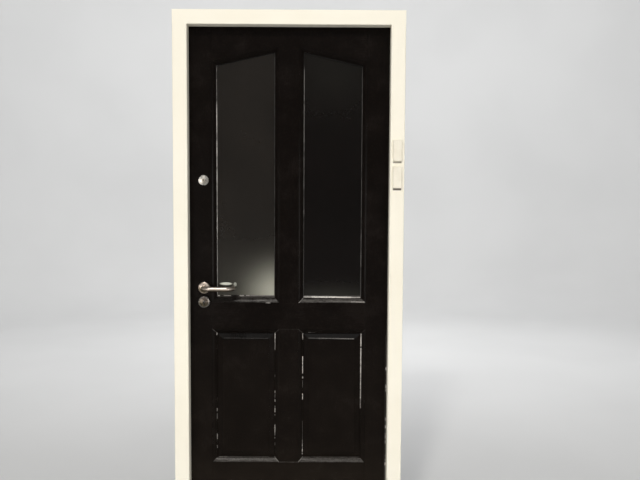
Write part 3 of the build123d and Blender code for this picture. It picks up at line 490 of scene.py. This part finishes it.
def cream_paint(name, grain, shadow_lines=()):
    """Cream satin brushed on wood. Its third argument gives painted shadow lines on its front, as
    the seams are given.
    """
    paint = Finish(name)
    brush = paint.noise(30, detail=4, rough=0.6, stretch=BRUSHED[grain])
    cloud = paint.noise(2.4, detail=4, rough=0.6)
    speck = paint.noise(260, detail=3, rough=0.6)
    colour = paint.mixed(paint.spread(cloud, 0.35, 0.75), CREAM, CREAM_AGED)
    colour = paint.mixed(paint.spread(brush, 0.62, 0.9, 0.0, 0.35), colour, CREAM_BRUSHED)
    low = paint.spread(paint.z, 0.0, 0.24, 0.55, 0.0)
    colour = paint.mixed(paint.times(low, paint.spread(cloud, 0.3, 0.6)), colour, GRIME)
    colour = paint.mixed(paint.spread(speck, 0.74, 0.80, 0.0, 0.5), colour, CREAM_SPOT)
    # Painted shadows: dark lines on the frame's front
    for start, end, half, share in shadow_lines:
        stroke = paint.times(paint.stroke(start, end, half), share)
        stroke = paint.times(stroke, paint.outside(*FRAME_OUTSIDE))
        colour = paint.mixed(stroke, colour, PAINTED_SHADOW)
    height = paint.math("MULTIPLY_ADD", speck, 0.15, brush)
    rough = paint.spread(brush, 0.2, 0.8, *CREAM_ROUGH)
    paint.set(Base_Color=colour, Roughness=rough, Specular_IOR_Level=0.22)
    paint.set(Normal=paint.bump(height, strength=0.25, distance=0.0007))
    return paint.material


def pane_glass(name, dark, light, mirror, glows, reflections=()):
    """Dark glass, with soft painted glows of light and sharper painted reflections that show pale
    on its outer face.

    Each glow or reflection is given as x, z, half width, half height and share.
    """
    glass = Finish(name)
    outer = glass.outside(*GLASS_OUTSIDE)
    cloud = glass.noise(7, detail=3, rough=0.55)
    frost = glass.noise(260, detail=2, rough=0.5, stretch=(1, 1, 0.5))
    colour = glass.mixed(glass.spread(cloud, 0.25, 0.8), dark, light)
    # Painted glows of light from behind the glass
    for x, z, wide, high, share in glows:
        glow = glass.math("EXPONENT", glass.times(glass.oval(x, z, wide, high), -1.0))
        glow = glass.times(glow, glass.spread(cloud, 0.1, 0.8, share * 0.85, share))
        colour = glass.mixed(glass.times(glow, outer), colour, PANE_GLOW)
    # Painted reflections on the outer face
    for x, z, wide, high, share in reflections:
        reflection = glass.spread(glass.oval(x, z, wide, high), 0.4, 1.2, share, 0.0)
        colour = glass.mixed(glass.times(reflection, outer), colour, PANE_REFLECTION)
    colour = glass.mixed(glass.spread(frost, 0.20, 0.90, 0.0, 0.035), colour, PANE_FROST)
    rough = glass.spread(cloud, 0.3, 0.7, *GLASS_ROUGH)
    glass.set(Base_Color=colour, Roughness=rough, Specular_IOR_Level=mirror)
    wave = glass.noise(5, detail=2, rough=0.5)
    glass.set(Normal=glass.bump(wave, strength=0.12, distance=0.001))
    return glass.material


def satin_steel(name, colour, rough, stretch, metal=1.0, under=None):
    """Brushed metal with finger marks. under is a painted shade for the faces that look down."""
    steel = Finish(name)
    lines = steel.noise(160, detail=5, rough=0.7, stretch=stretch)
    marks = steel.noise(38, detail=4, rough=0.6)
    darker = tuple(SCRATCH_SHADE * part for part in colour[:3]) + (1,)
    shade = steel.mixed(steel.spread(marks, 0.45, 0.85, 0.0, 0.7), colour, darker)
    shade = steel.mixed(steel.spread(lines, 0.5, 0.9, 0.0, 0.35), shade, darker)
    # Painted shade on faces that look down
    if under:
        shade = steel.mixed(steel.spread(steel.slope(), -0.50, 0.0, 1.0, 0.0), shade, under)
    uneven = steel.math("ADD", lines, marks)
    worn = steel.spread(uneven, 0.6, 1.5, rough * LEAST_ROUGH, rough * MOST_ROUGH)
    steel.set(Base_Color=shade, Metallic=metal, Roughness=worn)
    steel.set(Normal=steel.bump(lines, strength=0.22, distance=0.0002))
    return steel.material


def pressed_disc(name, bright, shaded_and_dull, rim, middle, edge=0.0168, lean=0.35, domed=8.0):
    """Slightly domed disc of pressed steel, with painted light above, painted shade below and a
    painted highlight on its rim.

    middle is its x and z, edge the radius where the rim begins, and lean how far to the left
    or right the bright part lies.
    """
    disc = Finish(name)
    x, z = middle
    lines = disc.noise(160, detail=5, rough=0.7, stretch=SCRATCHED_DISC)
    stain = disc.noise(95, detail=4, rough=0.65)
    apart = disc.oval(x, z, 1, 1)
    up = disc.math("MULTIPLY_ADD", disc.x, lean, disc.math("SUBTRACT", disc.z, z + lean * x))
    up = disc.math("MULTIPLY_ADD", stain, STAIN_SHIFT, up)
    # Painted light above and painted shade below, shifted a little by stains
    shade = disc.mixed(disc.spread(up, *DISC_SHADE), shaded_and_dull, bright)
    border = disc.spread(apart, edge ** 2, (edge + RIM_SOFT) ** 2)
    # Painted highlight on the rim
    shade = disc.mixed(disc.times(border, 0.55), shade, rim)
    shade = disc.mixed(disc.spread(lines, 0.5, 0.9, 0.0, 0.3), shade, shaded_and_dull)
    disc.set(Base_Color=shade, Metallic=1.0, Roughness=disc.spread(stain, 0.3, 0.7, *DISC_ROUGH))
    dome = disc.bump(disc.times(apart, -domed), strength=1.0, distance=1.0)
    disc.set(Normal=disc.bump(lines, strength=0.22, distance=0.0002, under=dome))
    return disc.material


def white_plastic(name):
    """Moulded white plastic, slightly yellowed, with fine grain."""
    plastic = Finish(name)
    cloud = plastic.noise(26, detail=3, rough=0.5)
    grain = plastic.noise(1500, detail=2, rough=0.5)
    colour = plastic.mixed(plastic.spread(cloud, 0.3, 0.7), PLASTIC, PLASTIC_YELLOWED)
    plastic.set(Base_Color=colour, Roughness=plastic.spread(cloud, 0.3, 0.7, *PLASTIC_ROUGH))
    plastic.set(Normal=plastic.bump(grain, strength=0.15, distance=0.0002))
    return plastic.material


def seal_rubber(name):
    """Black sponge seal."""
    rubber = Finish(name)
    pores = rubber.noise(900, detail=3, rough=0.6)
    colour = rubber.mixed(pores, RUBBER_PORE, RUBBER)
    rubber.set(Base_Color=colour, Roughness=rubber.spread(pores, 0.3, 0.7, *RUBBER_ROUGH))
    rubber.set(Normal=rubber.bump(pores, strength=0.4, distance=0.0004))
    return rubber.material


def sealant(name, runs):
    """Weathered sealant, mostly painted over. runs say where a painted highlight shows pale on it,
    and how much.
    """
    line = Finish(name)
    patches = line.noise(26, detail=5, rough=0.7)
    fine = line.noise(300, detail=3, rough=0.6)
    shown = []
    for place, low, high, share in runs:
        upright = line.between(line.z, low, high, 0.05)
        run = line.times(upright, line.near(line.x, place, 0.004, 0.001))
        shown.append(line.times(run, share))
    # Painted highlight along the runs
    pale = line.times(line.most(shown), line.spread(patches, 0.36, 0.56, 0.45, 1.15))
    colour = line.mixed(pale, SEALANT_PAINTED, SEALANT_HIGHLIGHT)
    rough = line.spread(fine, 0.3, 0.7, *SEALANT_ROUGH)
    line.set(Base_Color=colour, Roughness=rough, Specular_IOR_Level=0.2)
    line.set(Normal=line.bump(fine, strength=0.3, distance=0.0004))
    return line.material


LEFT_SHOULDER, RIGHT_SHOULDER = -STILE_FLAT, STILE_FLAT
BOTH_SHOULDERS = [LEFT_SHOULDER, RIGHT_SHOULDER]
SIDES = ("left", "right")
LEVELS = ("bottom", "middle", "top")

finishes = {
    "lock_stile": black_paint(
        "lock_stile_paint",
        STAND,
        worn=[PANEL_LEFT],
        seams_and_highlights=LEFT_SEAM,
        shoulders=[LEFT_SHOULDER],
    ),
    "hinge_stile": black_paint(
        "hinge_stile_paint",
        STAND,
        worn=[PANEL_RIGHT, HINGE_EDGE],
        seams_and_highlights=RIGHT_SEAM + HINGE_ARRIS,
        shoulders=[RIGHT_SHOULDER],
    ),
    "top_rail": black_paint("top_rail_paint", LIE, shoulders=BOTH_SHOULDERS),
    # The lock rail's ledges carry painted highlights, and dust that is also a painted sky sheen
    "lock_rail": black_paint(
        "lock_rail_paint",
        LIE,
        worn=[RAIL_FOOT, RAIL_HEAD],
        seams_and_highlights=LEFT_SEAM + SEAMS_ABOVE + RIGHT_SEAM + LEDGE_SEAMS_AND_HIGHLIGHTS,
        shoulders=BOTH_SHOULDERS,
        sheen_and_dust=LEDGE_SHEEN_AND_DUST,
    ),
    "bottom_rail": black_paint(
        "bottom_rail_paint",
        LIE,
        worn=[LEFT_FOOT, RIGHT_FOOT],
        seams_and_highlights=SEAMS_BELOW,
        shoulders=BOTH_SHOULDERS,
    ),
    "upper_muntin": black_paint("upper_muntin_paint", STAND),
    "lower_muntin": black_paint(
        "lower_muntin_paint",
        STAND,
        worn=[MUNTIN_LEFT, MUNTIN_RIGHT],
        seams_and_highlights=SEAMS_BELOW + SEAMS_ABOVE,
    ),
    "left_glass": pane_glass(
        "left_glass",
        # The left pane is painted lighter than the right, standing in for more light in the room
        # behind it
        dark=(0.0064, 0.0046, 0.0030, 1),
        light=(0.0100, 0.0074, 0.0052, 1),
        mirror=0.30,
        # Painted glows of light through the glass
        glows=[
            (-0.048, 1.0255, 0.101, 0.098, 0.60),
            (-0.160, 1.090, 0.130, 0.130, 0.016),
            (-0.262, 1.050, 0.080, 0.120, 0.020),
        ],
        # Painted reflection of the lever in the glass
        reflections=[
            (-0.2560, 1.0640, 0.0262, 0.0060, 0.96),
            (-0.2190, 1.0615, 0.0070, 0.0092, 0.40),
        ],
    ),
    "right_glass": pane_glass(
        "right_glass",
        # The right pane is painted nearly black, standing in for a dark room behind it
        dark=(0.0014, 0.0007, 0.0005, 1),
        light=(0.0028, 0.0016, 0.0013, 1),
        mirror=0.14,
        # Painted glows of light through the glass
        glows=[
            (0.175, 1.010, 0.200, 0.045, 0.028),
            (0.175, 1.930, 0.200, 0.170, 0.0095),
        ],
    ),
    "weather_seal": seal_rubber("seal_rubber"),
    "water_bar": satin_steel("water_bar_metal", (0.62, 0.62, 0.60, 1), 0.42, SCRATCHED_ACROSS),
    "lock_case": satin_steel("lock_case_steel", (0.42, 0.41, 0.40, 1), 0.40, SCRATCHED_UP),
    "follower": satin_steel("follower_steel", (0.60, 0.58, 0.55, 1), 0.35, SCRATCHED_IN),
    "spindle": satin_steel("spindle_steel", (0.50, 0.49, 0.47, 1), 0.40, SCRATCHED_IN),
    "cylinder_plug": satin_steel("plug_brass", (0.40, 0.36, 0.30, 1), 0.36, SCRATCHED_IN),
    "cylinder_ring": pressed_disc(
        "ring_steel",
        bright=(0.58, 0.555, 0.51, 1),
        shaded_and_dull=(0.34, 0.325, 0.29, 1),
        rim=(0.68, 0.66, 0.62, 1),
        middle=CYLINDER,
        edge=0.0160,
        lean=-0.5,
        domed=3.0,
    ),
    "cylinder_body": pressed_disc(
        "cylinder_steel",
        bright=(0.56, 0.53, 0.49, 1),
        shaded_and_dull=(0.30, 0.28, 0.25, 1),
        rim=(0.72, 0.69, 0.64, 1),
        middle=CYLINDER,
        edge=0.0125,
        lean=-0.5,
        domed=5.0,
    ),
}

# Panels: painted highlights on the fields' top edges, and painted shade on faces that look up
panel_paint = black_paint("panel_paint", STAND, seams_and_highlights=PANEL_TOP_HIGHLIGHTS, sheen_and_dust=())
bead_paint = black_paint("bead_paint", STAND)
# Weather beads: painted highlights, and dust that is also a painted sky sheen
weather_bead_paint = black_paint(
    "weather_bead_paint", LIE, seams_and_highlights=WEATHER_BEAD_HIGHLIGHTS, sheen_and_dust=BEAD_SHEEN_AND_DUST
)
jamb_paint = cream_paint("jamb_paint", STAND)
# The hinge jamb carries painted shadows under the boxes
box_jamb_paint = cream_paint("box_jamb_paint", STAND, SHADOWS_UNDER_BOXES)
head_paint = cream_paint("head_paint", LIE)
steel_upright = satin_steel("upright_steel", (0.60, 0.585, 0.56, 1), 0.32, SCRATCHED_UP)
# The lever's underside gets a painted shade
lever_steel = satin_steel(
    "lever_steel", (0.52, 0.455, 0.40, 1), 0.37, SCRATCHED_ACROSS, under=(0.16, 0.125, 0.09, 1)
)
rose_steel = pressed_disc(
    "rose_steel",
    bright=(0.47, 0.395, 0.340, 1),
    shaded_and_dull=(0.14, 0.117, 0.075, 1),
    rim=(0.44, 0.37, 0.32, 1),
    middle=LEVER_ROSE,
)
# The escutcheons are painted much darker than the roses, a painted shade standing in for the
# lever's shadow
shaded_escutcheon_steel = pressed_disc(
    "shaded_escutcheon_steel",
    bright=(0.120, 0.100, 0.084, 1),
    shaded_and_dull=(0.096, 0.080, 0.053, 1),
    rim=(0.24, 0.23, 0.22, 1),
    middle=KEYHOLE,
)
case_enamel = satin_steel(
    "case_enamel", (0.40, 0.39, 0.37, 1), 0.38, SCRATCHED_ALL_WAYS, metal=0.55
)
knob_metal = satin_steel("knob_metal", (0.66, 0.65, 0.63, 1), 0.22, SCRATCHED_IN)
box_plastic = white_plastic("box_plastic")

shared = [
    (panel_paint, [f"{side}_panel" for side in SIDES]),
    (weather_bead_paint, [f"{side}_weather_bead" for side in SIDES]),
    (bead_paint, [f"{s}_{p}_bead" for s in SIDES for p in ("bottom", "muntin", "top", "stile")]),
    (jamb_paint, ["lock_jamb"]),
    (box_jamb_paint, ["hinge_jamb"]),
    (head_paint, ["head", "sill"]),
    (steel_upright, ["lock_forend", "mortice_keep", "latch_bolt", "deadbolt"]),
    (steel_upright, ["night_latch_bolt", "hinge_pins"]),
    (steel_upright, [f"{level}_hinge_{k}_plate" for level in LEVELS for k in ("frame", "leaf")]),
    (lever_steel, ["outer_lever", "inner_lever"]),
    (rose_steel, ["outer_lever_rose", "inner_lever_rose"]),
    (shaded_escutcheon_steel, ["outer_escutcheon", "inner_escutcheon"]),
    (case_enamel, ["night_latch_case", "night_latch_keep"]),
    (knob_metal, ["night_latch_knob", "night_latch_snib"]),
    (box_plastic, ["upper_jamb_box", "lower_jamb_box"]),
]
for material, names in shared:
    for name in names:
        finishes[name] = material

for name, material in finishes.items():
    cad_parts[name].material_slots[0].material = material


# Pieces that only the dressed door has

# Sealant round the panes. Its pale runs, painted highlights where light catches the pane edges, are
# given as x, low end, high end and share
SEALANT_WIDE = 0.0024
SEALANT_THICK = 0.0026
SEALANT_ROUND = 0.7 * SEALANT_WIDE
SEALANT_SMOOTH = math.radians(50)
SEALANT_HIGHLIGHT_RUNS = [
    (-PANE_STILE, 1.010, 1.290, 0.34),
    (-PANE_STILE, 1.290, 1.450, 0.56),
    (-PANE_STILE, 1.450, 1.600, 0.80),
    (-PANE_STILE, 1.600, 1.764, 1.00),
    (-PANE_STILE, 1.764, 1.920, 0.24),
    (-PANE_MUNTIN, 1.000, 1.950, 0.045),
    (PANE_MUNTIN, 1.640, 1.900, 0.30),
    (PANE_MUNTIN, 1.360, 1.650, 0.20),
    (PANE_MUNTIN, 1.000, 1.370, 0.06),
    (PANE_STILE, 1.000, 1.900, 0.075),
    (PANE_STILE, 1.160, 1.250, 0.180),
]

# Countersunk screws: the head, its low crown and the cross in it
SCREW_SIDES = 24
SCREW_RADIUS = 0.0042
SCREW_DEEP = 0.0016
SCREW_SUNK = 0.0006
SCREW_SMOOTH = math.radians(30)
TOP_SLOPE = 0.9
CROWN_IN = 0.0004
CROWN_RISE = 0.0002
CROSS_LONG = 0.0044
CROSS_WIDE = 0.0009

# Places of the four screws in a hinge plate, as height from its middle and y
HINGE_SCREWS = ((-0.038, 0.071), (-0.014, 0.084), (0.014, 0.084), (0.038, 0.071))

# How far from the ends of the forend and the keep their screws sit
FOREND_INSET = 0.016
KEEP_INSET = 0.013


def inner_front(point):
    """Whether a point of the sealant is on its front and on the side of the pane."""
    inner = PANE_MUNTIN + SEALANT_WIDE / 2 < abs(point.x) < PANE_STILE - SEALANT_WIDE / 2
    return inner and point.y < GLASS_FACE - SEALANT_THICK / 2


def sealant_line(name, side):
    """Thin fillet of sealant round one pane, between the moulding and the glass."""
    wide, high = PANE_STILE - PANE_MUNTIN, PANE_PEAK - PANE_FOOT
    middle = (side * (PANE_STILE + PANE_MUNTIN) / 2, GLASS_FACE, (PANE_PEAK + PANE_FOOT) / 2)
    bpy.ops.mesh.primitive_plane_add(size=1, location=middle, rotation=(math.pi / 2, 0, 0))
    line = bpy.context.object
    line.name = name
    line.scale = (wide, high, 1)
    bpy.ops.object.transform_apply(location=True, rotation=True, scale=True)
    peak = (side * PANE_MUNTIN, GLASS_FACE, PANE_PEAK)
    above = (side * (PANE_PEAK - PANE_SPRING), 0, wide)
    bpy.ops.object.mode_set(mode="EDIT")
    bpy.ops.mesh.select_all(action="SELECT")
    bpy.ops.mesh.bisect(plane_co=peak, plane_no=above, clear_outer=True)
    bpy.ops.mesh.select_all(action="SELECT")
    bpy.ops.mesh.inset(thickness=SEALANT_WIDE)
    bpy.ops.mesh.delete(type="FACE")
    bpy.ops.mesh.select_all(action="SELECT")
    bpy.ops.mesh.extrude_region_move(TRANSFORM_OT_translate={"value": (0, -SEALANT_THICK, 0)})
    bpy.ops.mesh.select_all(action="SELECT")
    bpy.ops.mesh.normals_make_consistent(inside=False)
    bpy.ops.mesh.select_all(action="DESELECT")
    bpy.ops.object.mode_set(mode="OBJECT")
    for edge in line.data.edges:
        ends = [line.data.vertices[end].co for end in edge.vertices]
        edge.select = all(inner_front(end) for end in ends)
    bpy.ops.object.mode_set(mode="EDIT")
    bpy.ops.mesh.select_mode(type="EDGE")
    bpy.ops.mesh.bevel(offset=SEALANT_ROUND, segments=3)
    bpy.ops.object.mode_set(mode="OBJECT")
    bpy.ops.object.shade_smooth_by_angle(angle=SEALANT_SMOOTH)
    line.data.materials.append(sealant_grey)
    line.select_set(False)
    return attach(line, "leaf")


def screw(name, place, normal):
    """Countersunk cross-head screw, nearly flush. normal points out of its plate."""
    bpy.ops.mesh.primitive_cylinder_add(vertices=SCREW_SIDES, radius=SCREW_RADIUS, depth=SCREW_DEEP)
    head = bpy.context.object
    head.name = name
    bpy.ops.object.mode_set(mode="EDIT")
    bpy.ops.mesh.select_all(action="DESELECT")
    bpy.ops.object.mode_set(mode="OBJECT")
    for face in head.data.polygons:
        face.select = face.normal.z > TOP_SLOPE
    bpy.ops.object.mode_set(mode="EDIT")
    bpy.ops.mesh.select_mode(type="FACE")
    bpy.ops.mesh.inset(thickness=CROWN_IN)
    bpy.ops.transform.translate(value=(0, 0, CROWN_RISE))
    bpy.ops.object.mode_set(mode="OBJECT")
    for across, up in ((CROSS_LONG, CROSS_WIDE), (CROSS_WIDE, CROSS_LONG)):
        bpy.ops.mesh.primitive_cube_add(size=1, location=(0, 0, SCREW_DEEP / 2))
        cutter = bpy.context.object
        cutter.scale = (across, up, SCREW_DEEP)
        bpy.context.view_layer.objects.active = head
        cut = head.modifiers.new("cross", "BOOLEAN")
        cut.operation = "DIFFERENCE"
        cut.object = cutter
        bpy.ops.object.modifier_apply(modifier=cut.name)
        bpy.data.objects.remove(cutter)
    bpy.ops.object.select_all(action="DESELECT")
    head.select_set(True)
    head.rotation_euler = Vector(normal).to_track_quat("Z", "Y").to_euler()
    head.location = Vector(place) - Vector(normal) * SCREW_SUNK
    bpy.ops.object.transform_apply(location=True, rotation=True, scale=True)
    return head


def screws(name, body, places, normal):
    """The screws of one body that face the same way, the first copied to the other places."""
    head = screw(name, places[0], normal)
    copies = []
    for place in places[1:]:
        bpy.ops.object.select_all(action="DESELECT")
        head.select_set(True)
        bpy.context.view_layer.objects.active = head
        bpy.ops.object.duplicate()
        bpy.ops.transform.translate(value=Vector(place) - Vector(places[0]))
        copies.append(bpy.context.object)
    for piece in copies + [head]:
        piece.select_set(True)
    bpy.context.view_layer.objects.active = head
    bpy.ops.object.join()
    head.data.materials.append(screw_steel)
    bpy.ops.object.shade_smooth_by_angle(angle=SCREW_SMOOTH)
    head.select_set(False)
    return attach(head, body)


def hinge_holes(x):
    """Places of the four screws in each of the three hinge plates."""
    places = []
    for level in LEVELS:
        low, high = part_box(level + "_hinge_leaf_plate")
        middle = (low.z + high.z) / 2
        places += [(x, y, middle + up) for up, y in HINGE_SCREWS]
    return places


def end_holes(node, x, inset):
    """Places of the two screws at the ends of an upright plate."""
    low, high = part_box(node)
    y = (low.y + high.y) / 2
    return [(x, y, high.z - inset), (x, y, low.z + inset)]


sealant_grey = sealant("sealant_grey", SEALANT_HIGHLIGHT_RUNS)
sealant_line("left_sealant", -1)
sealant_line("right_sealant", 1)

screw_steel = satin_steel("screw_steel", (0.58, 0.56, 0.52, 1), 0.30, SCRATCHED_ALL_WAYS)
to_left, to_right = (-1, 0, 0), (1, 0, 0)
screws("forend_screws", "leaf", end_holes("lock_forend", -LEAF_EDGE, FOREND_INSET), to_left)
screws("keep_screws", "frame", end_holes("mortice_keep", -REBATE, KEEP_INSET), to_right)
screws("hinge_leaf_screws", "leaf", hinge_holes(LEAF_EDGE), to_right)
screws("hinge_frame_screws", "frame", hinge_holes(REBATE), to_left)


# Stage, light and camera

SWEEP_SIDES = 128
SWEEP_RADIUS = 6.0
SWEEP_TURN = 1.6
SWEEP_STEPS = 8
BACKDROP_RISE = 4.4
FLOOR_LEVEL = -0.001

SKY = (1.0, 0.99, 0.97, 1)
SKY_STRENGTH = 0.30
PLAIN = (1, 1, 1)
WARM = (1.0, 0.965, 0.905)
HALF_WARM = (1.0, 0.98, 0.94)

# Lamps: name, place, the place each aims at, width, height, watts, tint and throw in degrees
LAMPS = [
    ("key", (-1.1, -6.0, 6.5), (0, 0, 1.0), 0.7, 0.7, 246, WARM, 180),
    ("front", (0.8, -5.6, 4.9), (0, 0, 1.1), 2.4, 1.0, 38, PLAIN, 180),
    ("left", (-2.9, -5.3, 0.85), (0, 0, 0.3), 2.2, 1.6, 10.7, HALF_WARM, 70),
    ("right", (2.9, -5.3, 0.85), (0, 0, 0.3), 2.2, 1.6, 10.7, HALF_WARM, 70),
    ("top", (0.0, -0.8, 4.7), (0, 0, 0.6), 2.4, 0.6, 8, PLAIN, 180),
    ("backdrop", (0.0, 2.6, 4.6), (0, 7.0, 1.6), 5.0, 0.8, 200, PLAIN, 180),
    ("back", (1.6, 4.4, 4.2), (0, 0, 1.1), 1.8, 1.8, 60, PLAIN, 180),
]

CAMERA_PLACE = (0.1157, -2.9554, 1.4436)
CAMERA_TURN = -0.0029
CAMERA_TILT = 0.0660
CAMERA_ROLL = 0.0052
SENSOR_WIDE = 36
FOCAL_PIXELS = 750
PICTURE_PIXELS = 640


def studio_sweep():
    """Pale floor that turns up into a plain backdrop all round."""
    bpy.ops.mesh.primitive_circle_add(
        vertices=SWEEP_SIDES, radius=SWEEP_RADIUS, fill_type="NGON", location=(0, 0, FLOOR_LEVEL)
    )
    sweep = bpy.context.object
    sweep.name = "studio_sweep"
    bpy.ops.object.mode_set(mode="EDIT")
    bpy.ops.mesh.select_all(action="SELECT")
    bpy.ops.mesh.select_mode(type="EDGE")
    bpy.ops.mesh.region_to_loop()
    reach = SWEEP_RADIUS
    for step in range(1, SWEEP_STEPS + 1):
        angle = math.pi / 2 * step / SWEEP_STEPS
        before = angle - math.pi / 2 / SWEEP_STEPS
        wider = SWEEP_RADIUS + SWEEP_TURN * math.sin(angle)
        rise = SWEEP_TURN * (1 - math.cos(angle)) - SWEEP_TURN * (1 - math.cos(before))
        bpy.ops.mesh.extrude_region_move(TRANSFORM_OT_translate={"value": (0, 0, rise)})
        bpy.ops.transform.resize(value=(wider / reach, wider / reach, 1))
        reach = wider
    bpy.ops.mesh.extrude_region_move(TRANSFORM_OT_translate={"value": (0, 0, BACKDROP_RISE)})
    bpy.ops.object.mode_set(mode="OBJECT")
    bpy.ops.object.shade_smooth()
    paper = Finish("studio_paper")
    cloud = paper.noise(0.8, detail=2, rough=0.5)
    colour = paper.mixed(paper.spread(cloud, 0.3, 0.7), PAPER, PAPER_SHADED)
    paper.set(Base_Color=colour, Roughness=0.95, Specular_IOR_Level=0.0)
    sweep.data.materials.append(paper.material)
    sweep.select_set(False)


def soft_box(name, place, aim, wide, high, power, tint, throw):
    """Rectangular lamp that the camera doesn't see."""
    lamp = bpy.data.lights.new(name, "AREA")
    lamp.shape = "RECTANGLE"
    lamp.size, lamp.size_y = wide, high
    lamp.energy = power
    lamp.color = tint
    lamp.spread = math.radians(throw)
    holder = bpy.data.objects.new(name, lamp)
    bpy.context.scene.collection.objects.link(holder)
    holder.location = place
    holder.rotation_euler = (Vector(aim) - Vector(place)).to_track_quat("-Z", "Y").to_euler()
    holder.visible_camera = False


def camera():
    """Camera at the photograph's height, distance and tilt."""
    lens = bpy.data.cameras.new("camera")
    lens.sensor_width = SENSOR_WIDE
    lens.lens = SENSOR_WIDE * FOCAL_PIXELS / PICTURE_PIXELS
    holder = bpy.data.objects.new("camera", lens)
    bpy.context.scene.collection.objects.link(holder)
    turn = Matrix.Rotation(CAMERA_TURN, 4, "Z")
    tilt = Matrix.Rotation(math.pi / 2 - CAMERA_TILT, 4, "X")
    roll = Matrix.Rotation(CAMERA_ROLL, 4, "Z")
    holder.matrix_world = Matrix.Translation(CAMERA_PLACE) @ turn @ tilt @ roll
    bpy.context.scene.camera = holder


bpy.context.scene.view_settings.view_transform = "Standard"
studio_sweep()
world = bpy.data.worlds.new("sky")
bpy.context.scene.world = world
world.use_nodes = True
world.node_tree.nodes["Background"].inputs["Color"].default_value = SKY
world.node_tree.nodes["Background"].inputs["Strength"].default_value = SKY_STRENGTH
for lamp in LAMPS:
    soft_box(*lamp)
camera()
